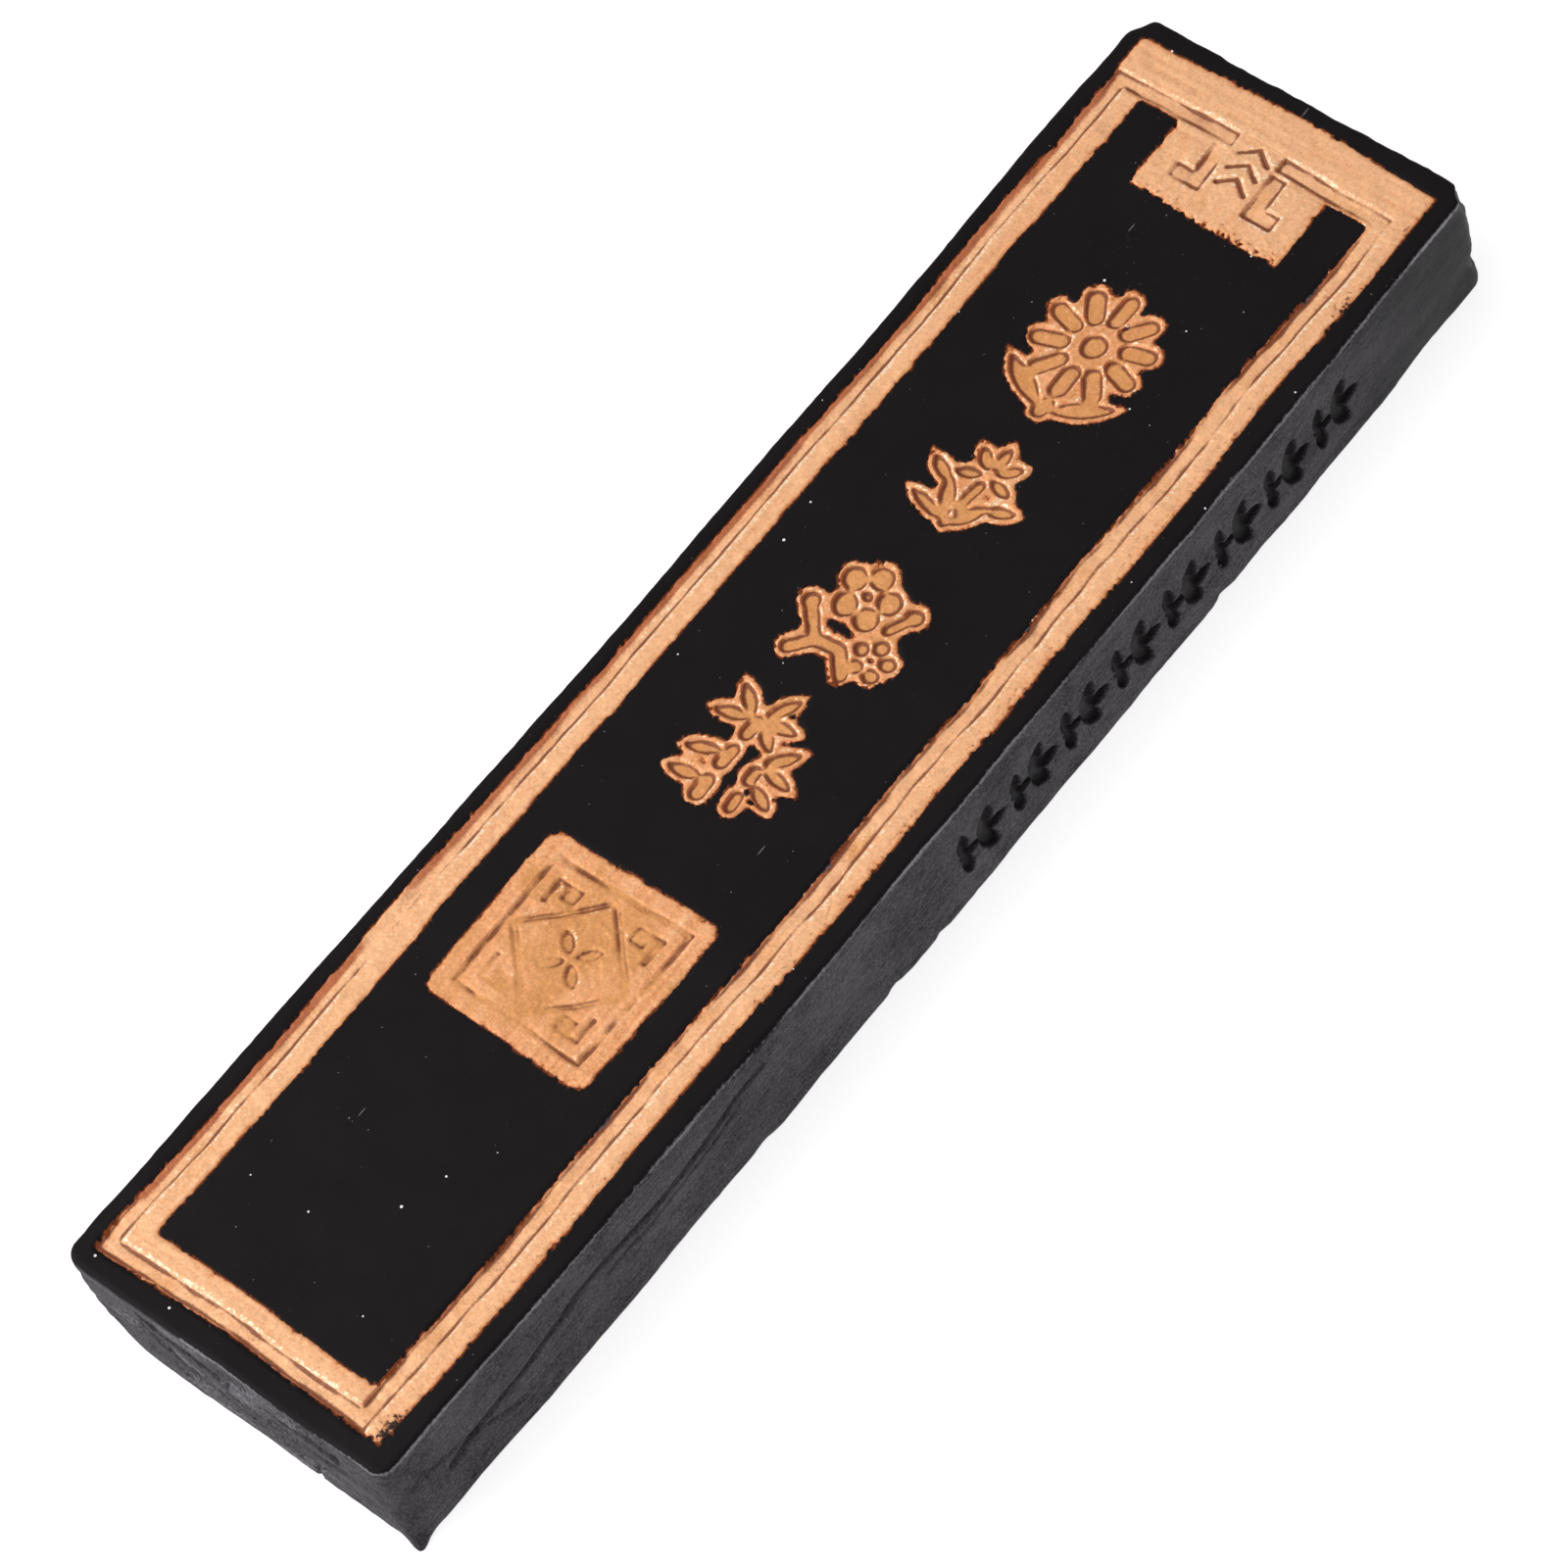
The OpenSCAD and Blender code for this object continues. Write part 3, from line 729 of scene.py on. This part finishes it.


def copper_paint():
    """The whole finish."""
    material, tree, shader = fresh("copper_powder_paint")
    place = add(tree, PLACE, out="Object")
    grain = add(tree, NOISE, {"Vector": place, "Scale": per_mm(FLAKE), "Detail": 3, "Roughness": 0.5})
    cloud = add(tree, NOISE, {"Vector": place, "Scale": per_mm(1.6), "Detail": 4, "Roughness": 0.5})
    flakes = add(tree, CELLULAR, {"Vector": place, "Scale": per_mm(FLAKE)}, "Color")
    flake = add(tree, SPLIT, {"Color": flakes}, 1)
    marks = {name: add(tree, ATTRIBUTE, out="Fac", attribute_name=name)
             for name in ("inside", "settled", "lamp_facing", "bend", "brushed", "careless")}

    colour = thick_and_thin(tree, grain, marks)
    colour = ochre_and_painted_shade(tree, colour, grain, cloud, marks)
    colour = painted_glints(tree, colour, flake, marks)
    colour = dry_spots(tree, colour, place, grain, marks)
    bright = add(tree, RANGE, {"Value": flake, "To Min": 0.88, "To Max": 1.1})
    bright = add(tree, MATH, {0: marks["brushed"], 1: 0.012, 2: bright}, operation="MULTIPLY_ADD")
    colour = add(tree, "ShaderNodeVectorMath", {0: colour, "Scale": bright}, operation="SCALE")
    gloss = add(tree, RANGE, {"Value": flake, "From Min": 0.6, "To Min": 0.6, "To Max": 0.34})
    height = add(tree, MATH, {0: flake, 1: 0.5, 2: grain}, operation="MULTIPLY_ADD")
    height = add(tree, MATH, {0: marks["brushed"], 1: 0.15, 2: height}, operation="MULTIPLY_ADD")
    rise = add(tree, BUMP, {"Height": height, "Strength": 0.4, "Distance": 0.03 * MM})
    tree.links.new(colour, shader.inputs["Base Color"])
    tree.links.new(gloss, shader.inputs["Roughness"])
    tree.links.new(rise, shader.inputs["Normal"])
    shader.inputs["Metallic"].default_value = 0.2
    return material


paint = copper_paint()
print(f"{paint.name}: {len(paint.node_tree.nodes)} nodes")

# %% [markdown]
# ### Ink cake
# The cake is soot bound with glue. Pressed against the mould it is smooth, deep black and slightly
# glossy. Its sides and ends were scraped and handled, and look greyer and duller, with fine
# lengthwise scratches and pits. One number per vertex says how much a place was scraped; the same
# number also carries painted light and shade on the sides and ends.

# %% Pressed and scraped cake
def pressed_and_scraped(tree, place, grain, cloud, streak, scraped):
    """Black where the mould pressed the cake, streaky grey with pale specks where it was scraped."""
    pressed = add(tree, MIX, {0: cloud, 6: linear("#131012"), 7: linear("#1c181a")}, 2, data_type="RGBA")
    worn = add(tree, MATH, {0: streak, 1: 0.8, 2: grain}, operation="MULTIPLY_ADD")
    worn = add(tree, MATH, {0: cloud, 1: 0.6, 2: worn}, operation="MULTIPLY_ADD")
    worn = add(tree, RANGE, {"Value": worn, "From Min": 0.95, "From Max": 1.45})
    worn = add(tree, MIX, {0: worn, 6: linear("#1c1a1d"), 7: linear("#625e64")}, 2, data_type="RGBA")
    speckle = add(tree, NOISE, {"Vector": place, "Scale": per_mm(0.11), "Detail": 2, "Roughness": 0.5})
    speckle = add(tree, RANGE, {"Value": speckle, "From Min": 0.6, "From Max": 0.72, "To Max": 0.6})
    worn = add(tree, MIX, {0: speckle, 6: worn, 7: linear("#8f8a92")}, 2, data_type="RGBA")
    return add(tree, MIX, {0: scraped, 6: pressed, 7: worn}, 2, data_type="RGBA")


def highlit_and_stained(tree, colour, grain):
    """A painted highlight on the upper edges and the grinding end, and rust-coloured where thin paint was
    wiped over the black.
    """
    painted_edge_light = add(tree, ATTRIBUTE, out="Fac", attribute_name="painted_edge_light")
    stain = add(tree, ATTRIBUTE, out="Fac", attribute_name="stain")
    # painted highlight on the upper edges and the grinding end
    edge_highlight = add(tree, MATH, {0: grain, 1: 1.4, 2: painted_edge_light}, operation="MULTIPLY_ADD")
    edge_highlight = add(tree, RANGE, {"Value": edge_highlight, "From Min": 0.95, "From Max": 1.7})
    colour = add(tree, MIX, {0: edge_highlight, 6: colour, 7: linear("#98949a")}, 2, data_type="RGBA")
    smear = add(tree, MATH, {0: grain, 1: 1.6, 2: stain}, operation="MULTIPLY_ADD")
    smear = add(tree, RANGE, {"Value": smear, "From Min": 1.25, "From Max": 1.8})
    return add(tree, MIX, {0: smear, 6: colour, 7: linear("#8a4523")}, 2, data_type="RGBA")


# %% [markdown]
# A little white dust and lint lies on the broad faces. A dust grain is a small disc in some cells of
# a flat cellular pattern, and a fibre is the same disc in a pattern that is stretched ten times.

# %% Dust and lint
# the distance between specks, their size in mm, the share of cells left empty, and the colour
DUST = ((2.9, 0.09, 0.76, "#f4f1ee"), (1.7, 0.035, 0.7, "#8d888a"))
FIBRE_TURNS = (0.5, 2.1)


def dusty(tree, colour, place, scraped):
    """Grains of two sizes and short fibres in two directions, none on scraped places."""
    for pitch, size, share, shade in DUST:
        dust = add(tree, CELLULAR, {"Vector": place, "Scale": per_mm(pitch)}, voronoi_dimensions="2D").node
        pick = add(tree, SPLIT, {"Color": dust.outputs["Color"]})
        reach = add(tree, RANGE, {"Value": pick, "From Min": share, "To Max": size / pitch})
        reach = add(tree, MATH, {0: scraped, 1: -0.1, 2: reach}, operation="MULTIPLY_ADD")
        speck = add(tree, MATH, {0: reach, 1: dust.outputs["Distance"]}, operation="GREATER_THAN")
        colour = add(tree, MIX, {0: speck, 6: colour, 7: linear(shade)}, 2, data_type="RGBA")
    for angle in FIBRE_TURNS:
        lint = add(tree, TURN, {"Vector": place, "Rotation": (0, 0, angle), "Scale": (0.1, 1, 1)})
        lint = add(tree, CELLULAR, {"Vector": lint, "Scale": per_mm(2.2)}, voronoi_dimensions="2D").node
        pick = add(tree, SPLIT, {"Color": lint.outputs["Color"]})
        reach = add(tree, RANGE, {"Value": pick, "From Min": 0.86, "To Max": 0.016})
        reach = add(tree, MATH, {0: scraped, 1: -0.1, 2: reach}, operation="MULTIPLY_ADD")
        fibre = add(tree, MATH, {0: reach, 1: lint.outputs["Distance"]}, operation="GREATER_THAN")
        fibre = add(tree, MATH, {0: fibre, 1: 0.6}, operation="MULTIPLY")
        colour = add(tree, MIX, {0: fibre, 6: colour, 7: linear("#8d888a")}, 2, data_type="RGBA")
    return colour


# %% Ink cake
def ink_cake():
    """The whole finish."""
    material, tree, shader = fresh("pressed_soot_cake")
    place = add(tree, PLACE, out="Object")
    scraped = add(tree, ATTRIBUTE, out="Fac", attribute_name="scraped")
    grain = add(tree, NOISE, {"Vector": place, "Scale": per_mm(0.2), "Detail": 5, "Roughness": 0.6})
    cloud = add(tree, NOISE, {"Vector": place, "Scale": per_mm(3.5), "Detail": 4, "Roughness": 0.6})
    along = add(tree, TURN, {"Vector": place, "Rotation": (0, 0.05, 0), "Scale": (0.14, 1, 1)})
    streak = add(tree, NOISE, {"Vector": along, "Scale": per_mm(0.28), "Detail": 6, "Roughness": 0.75})

    colour = pressed_and_scraped(tree, place, grain, cloud, streak, scraped)
    colour = highlit_and_stained(tree, colour, grain)
    colour = dusty(tree, colour, place, scraped)
    gloss = add(tree, RANGE, {"Value": scraped, "To Min": 0.42, "To Max": 0.6})
    height = add(tree, MATH, {0: streak, 1: 3.0, 2: grain}, operation="MULTIPLY_ADD")
    height = add(tree, MATH, {0: height, 1: scraped}, operation="MULTIPLY")
    height = add(tree, MATH, {0: cloud, 1: 0.5, 2: height}, operation="MULTIPLY_ADD")
    rise = add(tree, BUMP, {"Height": height, "Strength": 0.7, "Distance": 0.11 * MM})
    tree.links.new(colour, shader.inputs["Base Color"])
    tree.links.new(gloss, shader.inputs["Roughness"])
    tree.links.new(rise, shader.inputs["Normal"])
    shader.inputs["Specular IOR Level"].default_value = 0.08
    return material


ink = ink_cake()
print(f"{ink.name}: {len(ink.node_tree.nodes)} nodes")

# %% [markdown]
# ## The coats
# Each node of gilding gets its own sheet. A plant has fine strokes and needs the finest cells; the
# long frames get coarser ones, so that no piece passes 200,000 triangles.

# %% Coats on both faces
CELLS = {"border_gilding": 0.118, "fret_gilding": 0.08, "seal_gilding": 0.08,
         "back_border_gilding": 0.17, "back_bough_gilding": 0.12}
PLANT_CELL, BLOSSOM_CELL = 0.07, 0.12
for name in FRONT + BACK:
    front = name in FRONT
    cell = CELLS.get(name, PLANT_CELL if front else BLOSSOM_CELL)
    piece = finish_piece(name + "_coat", coat(name, cell, front), name, paint)
    describe_coat(piece, name, front)
    print(f"{piece.name}: {len(piece.data.polygons)} faces")

# %% [markdown]
# ## The bar
# The bar starts as a block that is cut into small cells, closer together near its edges. The cells
# are then moved: the edges are rounded, the faces get the relief, and the sides their sprigs, chips
# and folds.

# %% The sliced block
SKIN = 0.42                                 # mm, cells of the bar
FINE = 0.09                                 # mm, the cell at an edge
GROWTH = 1.35                               # of each cell over the one nearer the edge


def stations(length):
    """Places of the cuts along one direction: close at both ends, even between."""
    count = math.ceil(math.log(SKIN / FINE) / math.log(GROWTH)) + 1
    near = FINE * (GROWTH ** np.arange(count) - 1) / (GROWTH - 1)
    middle = length - 2 * near[-1]
    even = np.linspace(0, middle, math.ceil(middle / SKIN) + 1)[1:-1] + near[-1]
    return np.concatenate([near, even, length - near[::-1]])


def sliced_block():
    """A closed block in mm, cut at the stations."""
    block = bmesh.new()
    bmesh.ops.create_cube(block, size=1)
    cuts = [stations(size) for size in (LENGTH, WIDTH, THICK)]
    for axis, places in enumerate(cuts):
        rails = [e for e in block.edges if abs((e.verts[0].co - e.verts[1].co)[axis]) > 0.9]
        bmesh.ops.subdivide_edges(block, edges=rails, cuts=len(places) - 2)
    points = points_of(block) + 0.5
    for axis, places in enumerate(cuts):
        steps = np.rint(points[:, axis] * (len(places) - 1)).astype(int)
        points[:, axis] = low[axis] + places[steps]
    move_to(block, points)
    return block


body = sliced_block()
print(f"block: {len(body.faces)} faces")

# %% [markdown]
# ### Side sprigs
# A row of small leaves is pressed into the long right side, unpainted. The mould sank them, so they
# are read from the CAD bar as one more map of depth, rather than cut with booleans.

# %% Side sprigs
SPRIG_DEEP = 0.35                           # mm


def side_relief():
    """Depth of the sprigs in the -Y side, from the CAD bar."""
    starts = ray_starts(map_x, map_z, lambda u, v: (u, low[1] - CLEAR, v))
    reach = cast("ink_body", starts, Vector((0, 1, 0))) - CLEAR
    reach[np.isnan(reach)] = 0
    inner = hump((map_z - THICK / 2) / (THICK / 2 - 0.6)) > 0
    inner = inner[None, :] & (np.abs(map_x)[:, None] < LENGTH / 2 - 2)
    return np.where(inner, np.clip(reach, 0, SPRIG_DEEP), 0)


sprigs = 1.25 * blur(side_relief(), 0.06)
print(f"sprigs {sprigs.max():.2f} mm deep")

# %% [markdown]
# ### Wear
# No face of a hand-pressed cake is flat. The sides carry shallow hollows and folds from the pressing,
# and both ends are rougher, where the cake was trimmed. A fold is a line of points with soft walls,
# bent about at random; a map for each side holds its folds and hollows, in mm of depth.

# %% Folds
def fold(axis_u, axis_v, path, width):
    """A map that is 1 on a line through the points of path and fades to 0 at width, in mm."""
    u, v = np.meshgrid(axis_u, axis_v, indexing="ij")
    nearest = np.full(u.shape, 9.0)
    for start, end in zip(path, path[1:]):
        start, run = np.array(start), np.subtract(end, start)
        t = np.clip(((u - start[0]) * run[0] + (v - start[1]) * run[1]) / (run @ run), 0, 1)
        nearest = np.minimum(nearest, np.hypot(u - start[0] - t * run[0], v - start[1] - t * run[1]))
    return smooth(1 - nearest / width)


def wander(field, axis_u, axis_v, amount, lump):
    """The same map with its lines bent about at random."""
    u, v = np.meshgrid(axis_u, axis_v, indexing="ij")
    return look_up(field, u + amount * ripple(field.shape, lump), v + amount * ripple(field.shape, lump),
                   axis_u, axis_v)


print("a fold, at 0, 0.4 and 0.8 of its width from its line:", smooth(np.array([1, 0.6, 0.2])).round(2))

# %% Folds and hollows of the long sides
right_side = 0.04 * ripple(SIDE, 1.6, 3) + 0.025 * ripple(SIDE, 0.5, 2) + 0.010 * ripple(SIDE, 0.16)
crack = fold(map_x, map_z, [(TAIL + 4, 3.4), (TAIL + 14, 5.2), (TAIL + 24, 5.6), (TAIL + 31, 6.3)], 0.35)
crack += 0.6 * fold(map_x, map_z, [(TAIL + 17, 4.3), (TAIL + 28, 5.1)], 0.3)
crack = wander(crack, map_x, map_z, 0.2, 1.5)
right_side += 0.17 * crack
curl = fold(map_x, map_z, [(TAIL + 1.2, 7.4), (TAIL + 2.4, 5.4), (TAIL + 5, 4), (TAIL + 9, 3.2)], 0.4)
curl = wander(curl, map_x, map_z, 0.3, 1.2)
right_side += 0.11 * curl
folds_right = blur(np.maximum(crack, curl), 0.2)
left_side = 0.06 * ripple(SIDE, 1.8, 3) + 0.02 * ripple(SIDE, 0.5, 2) + 0.010 * ripple(SIDE, 0.16)
print(f"right side up to {right_side.max():.2f} mm hollow, left side {left_side.max():.2f} mm")

# %% Folds and hollows of the ends
near_end = 0.06 * ripple(END, 1.6) + 0.05 * ripple(END, 0.3, 4) + 0.025 * ripple(END, 0.15)
lip = fold(map_y, map_z, [(6.5, 7.0), (2.5, 6.0), (-2.5, 6.2), (-8, 6.9)], 0.5)
lip = wander(lip, map_y, map_z, 0.25, 1.0)
split = wander(fold(map_y, map_z, [(-4.4, 0.3), (-4.9, 2.6)], 0.3), map_y, map_z, 0.15, 0.6)
flow = fold(map_y, map_z, [(8, 5.2), (4, 3.4), (-1, 3.0)], 0.4)
flow += fold(map_y, map_z, [(1, 4.6), (-6, 4.2), (-10, 5)], 0.4)
flow = wander(flow, map_y, map_z, 0.3, 1.0)
# the ends are calmer near the broad faces, where the mould held them
calm = 1 - 0.65 * smooth((np.abs(map_z - THICK / 2) - THICK / 2 + 1.6) / 1.2)
near_end = near_end * calm + 0.4 * lip + 0.3 * split + 0.15 * flow
folds_tail = blur(np.maximum(lip, split), 0.2)
head_end = (0.05 * ripple(END, 1.2) + 0.06 * ripple(END, 0.3) + 0.03 * ripple(END, 0.12)) * calm
print(f"grinding end up to {near_end.max():.2f} mm hollow, head end {head_end.max():.2f} mm")

# %% [markdown]
# ### Finer cells
# Small forms need small cells, and a bar that is fine all over would be far too heavy. Only the cells
# under the paint's edges, at both ends, and round the sprigs and folds are halved, the last two twice.

# %% Finer cells where they are needed
def refine(block, wanted):
    """Halves the cells whose middle is wanted."""
    middles = np.array([face.calc_center_median()[:] for face in block.faces])
    chosen = [face for face, want in zip(block.faces, wanted(middles)) if want]
    edges = list({edge for face in chosen for edge in face.edges})
    bmesh.ops.subdivide_edges(block, edges=edges, cuts=1, use_grid_fill=True)


def near_sprigs(p):
    """On the walls of the sprigs."""
    slope = blur(np.hypot(*np.gradient(sprigs, CELL)), 0.15)
    return (p[:, 1] < low[1] + 0.01) & (look_up(slope, p[:, 0], p[:, 2], map_x, map_z) > 0.05)


def near_folds(p):
    """Round the folds of the right side and of the grinding end."""
    right = (p[:, 1] < low[1] + 0.01) & (look_up(folds_right, p[:, 0], p[:, 2], map_x, map_z) > 0.02)
    tail = (p[:, 0] < low[0] + 0.01) & (look_up(folds_tail, p[:, 1], p[:, 2], map_y, map_z) > 0.02)
    return right | tail


def both_ends(p):
    """Both end faces."""
    return np.abs(p[:, 0]) > LENGTH / 2 - 0.01


def near_paint(p):
    """Under the edges of the front's paint."""
    band = blur(np.abs(front_edge) < 0.1, 0.3)
    return (p[:, 2] > high[2] - 0.01) & (look_up(band, p[:, 0], p[:, 1]) > 0.05)


for where in (near_paint, both_ends, near_sprigs, near_sprigs, near_folds, near_folds):
    refine(body, where)
    print(f"{where.__name__}: {len(body.faces)} faces")

# %% [markdown]
# ### Shape of the bar
# Every vertex of the block gets its place on the worn bar: first the round edges of the mould, then
# the sides' hollows and the bend, then the relief of both faces, and last the battered corners.
# Under the paint the bar is sunk a little more, so that its cells never poke through a coat.

# %% Rounded and uneven
ROUND_PLAN = 1.0                            # mm, the four upright edges
ROUND_EDGE = 0.26                           # mm, the edges round the broad faces
SIDE_REACH = 0.9                            # mm over which a side's hollows fade into the bar
half = np.array([LENGTH, WIDTH]) / 2


def rounded(points, edge_round):
    """Rounds the block: first its outline, then the edges round both broad faces."""
    xy, z = points[:, :2], points[:, 2]
    q = np.abs(xy) - (half - ROUND_PLAN)
    out = np.maximum(q, 0)
    longest, length = out.max(1), np.hypot(*out.T)
    shrink = np.where(length > 0, longest / np.maximum(length, 1e-9), 1)
    q = np.where(q > 0, q * shrink[:, None], q)
    out = np.maximum(q, 0)
    length = np.hypot(*out.T)
    axis = np.where((q[:, 0] > q[:, 1])[:, None], [1.0, 0.0], [0.0, 1.0])
    normal = np.where((length > 0)[:, None], out / np.maximum(length, 1e-9)[:, None], axis)
    reach = np.where(length > 0, length, q.max(1)) - ROUND_PLAN
    e = reach + edge_round
    f = np.abs(z - THICK / 2) - (THICK / 2 - edge_round)
    both = (e > 0) & (f > 0)
    k = np.where(both, np.maximum(e, f) / np.maximum(np.hypot(e, f), 1e-9), 1)
    q = q + normal * (e * (k - 1))[:, None]
    z = np.where(both, z + np.sign(z - THICK / 2) * f * (k - 1), z)
    return np.column_stack([np.sign(xy) * (q + half - ROUND_PLAN), z])


def sided(points):
    """The hollows and folds of the four sides, and the sprigs."""
    x, y, z = points.T
    right = look_up(right_side + sprigs, x, z, map_x, map_z)
    left = look_up(left_side, x, z, map_x, map_z)
    tail = look_up(near_end, y, z, map_y, map_z)
    head = look_up(head_end, y, z, map_y, map_z)
    shift_y = right * smooth((-y - half[1] + 1) / SIDE_REACH) - left * smooth((y - half[1] + 1) / SIDE_REACH)
    shift_x = tail * smooth((-x - half[0] + 1) / SIDE_REACH) - head * smooth((x - half[0] + 1) / SIDE_REACH)
    return points + np.column_stack([shift_x, shift_y, 0 * x])


print(f"edges rounded {ROUND_EDGE} mm, upright edges {ROUND_PLAN} mm")

# %% The worn bar
def shaped(points):
    """Where each point of the block belongs on the worn bar."""
    x, y, z = points.T
    top, bottom = z > high[2] - 1e-6, z < 1e-6
    new = sided(rounded(points, ROUND_EDGE))
    new[:, 1] += bow(new[:, 0], BOW_EDGE) * smooth((np.abs(new[:, 1]) - 6) / 5)
    drawn_y = new[:, 1] - bow(new[:, 0], BOW_PRINT)
    bed = 0.06 * smooth(look_up(front_edge, new[:, 0], drawn_y) / 0.14 - 0.3)
    bed += 0.10 * smooth(look_up(front_inside, new[:, 0], drawn_y) * 4 - 3)
    drop = look_up(front_relief, new[:, 0], drawn_y) + bed - look_up(front_swell, new[:, 0], drawn_y)
    new[:, 2] -= np.where(top, drop, 0)
    bed = 0.13 * smooth(look_up(back_edge, new[:, 0], drawn_y) / 0.14 - 0.1)
    bed += 0.07 * smooth(look_up(back_inside, new[:, 0], drawn_y) * 4 - 3)
    new[:, 2] += np.where(bottom, look_up(back_relief, new[:, 0], drawn_y) + bed, 0)
    return battered(new)


move_to(body, shaped(points_of(body)))
bmesh.ops.recalc_face_normals(body, faces=body.faces)
bar = finish_piece("ink_bar", body, "ink_body", ink)
print("ink_bar spans", np.ptp(points_of(bar.data) / MM, axis=0).round(2), "mm")

# %% [markdown]
# ### Scraped and stained places, with painted light and shade
# The mould's polish stays on the broad faces only. The sides and ends were scraped, and their grey gets
# darker towards the head. The grinding end is painted lighter in its middle, a painted pool of light,
# and a painted highlight runs along the upper edges. The sprigs and folds stay dark, less scraped, and
# this also paints the shade in them. A little copper was wiped past the painted lines and under the
# right edge. Each is one number per vertex, which the ink material reads.

# %% Where the bar is scraped and stained, with painted light and shade
x, y, z = (points_of(bar.data) / MM).T
from_top = THICK - z
print_y = y - bow(x, BOW_PRINT)
scraped = smooth(from_top / 0.3 - 0.6) * smooth(z / 0.3 - 0.2)
# the scraped grey gets darker towards the head; on the grinding end it is painted lighter in the middle and
# darker towards both sides, a painted pool of light
tone_and_light = 0.9 - 0.75 * smooth((x - HEAD + 22) / 20)
at_tail = smooth((TAIL + 1.5 - x) / 1.0)
patches = look_up(ripple(END, 0.45, 1.8) + 0.6 * ripple(END, 0.14, 4), y, z, map_y, map_z)
tone_and_light += at_tail * (0.12 - 0.35 * smooth((np.abs(y) - 3) / 6) + 0.12 * patches)
# the sprigs and folds keep the mould's black: they are less scraped, and this also paints the shade in their
# hollows
pressed_in = smooth(look_up(sprigs, x, z, map_x, map_z) / 0.15) * (y < 0)
in_fold = look_up(crack + 0.5 * curl, x, z, map_x, map_z) * (y < -half[1] + 1)
in_fold += look_up(lip + split, y, z, map_y, map_z) * at_tail
note(bar, "scraped", scraped * tone_and_light * (1 - 0.97 * pressed_in) * (1 - 0.6 * np.clip(in_fold, 0, 1)))
wiped = np.where(from_top < 0.5, smooth(look_up(front_edge, x, print_y) / 0.09 + 1), 0)
# two smears of copper under the right edge, a long one and a short one
smears = hump((x - TAIL - 14) / 6) + hump((x - TAIL - 59) / 2)
underneath = hump(z / 0.4) * hump(np.minimum(y - RIGHT, 1)) * smears
note(bar, "stain", np.maximum(wiped, 0.85 * underneath))
# a painted highlight along the upper edges, and a painted pool of light on the grinding end, lightest in its
# middle
patchy = 0.8 + 0.25 * look_up(ripple(FACE, 1.5), x, y)
end_light_pool = np.clip(0.22 + 0.13 * patches - 0.3 * smooth((np.abs(y) - 4) / 5), 0, 1)
edge_shine = 1.1 * patchy * hump((from_top - 0.26) / 0.24) * (y < 3)
note(bar, "painted_edge_light", edge_shine + at_tail * scraped * end_light_pool)
triangles = sum(len(face.vertices) - 2 for face in bar.data.polygons)
print(f"bar: {len(bar.data.polygons)} faces, {triangles} triangles")

# %% [markdown]
# ## Table
# The stick lies on a plain white table, lit so evenly that it has no visible edge and hardly a
# shadow. A large sheet that glows a little gives that. It lies a hair below the stick, and seen from
# below it is clear, so that the back of the stick can be looked at.

# %% Table
TABLE_HALF = 3.0                            # m
TABLE_GAP = 0.02                            # mm below the stick
TABLE_GREY = (0.5, 0.5, 0.5, 1)
TABLE_GLOW = 0.79
table = bmesh.new()
bmesh.ops.create_grid(table, x_segments=1, y_segments=1, size=TABLE_HALF)
bmesh.ops.translate(table, vec=Vector((0, 0, -TABLE_GAP)) * MM, verts=table.verts)
floor_mesh = bpy.data.meshes.new("table")
table.to_mesh(floor_mesh)
table.free()
floor = bpy.data.objects.new("table", floor_mesh)
bpy.context.scene.collection.objects.link(floor)
white, tree, shader = fresh("white_table")
shader.inputs["Base Color"].default_value = TABLE_GREY
shader.inputs["Roughness"].default_value = 0.8
shader.inputs["Emission Color"].default_value = WHITE
shader.inputs["Emission Strength"].default_value = TABLE_GLOW
clear = add(tree, "ShaderNodeBsdfTransparent")
under = add(tree, "ShaderNodeNewGeometry", out="Backfacing")
seen = add(tree, "ShaderNodeMixShader", {0: under, 1: shader.outputs[0], 2: clear})
tree.links.new(seen, tree.nodes["Material Output"].inputs["Surface"])
floor_mesh.materials.append(white)
floor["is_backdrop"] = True
print(f"table {2 * TABLE_HALF:.0f} m wide")

# %% [markdown]
# ## Sizes, and the end
# The visual model is built to the size of the CAD model, and both boxes are printed. The
# visual model has to stay as large as the CAD model.

# %% Sizes, and the end
visual_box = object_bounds()
for title, box in (("CAD", cad_box), ("visual", visual_box)):
    print(f"{title} box", [round((b - a) / MM, 2) for a, b in zip(*box)], "mm")
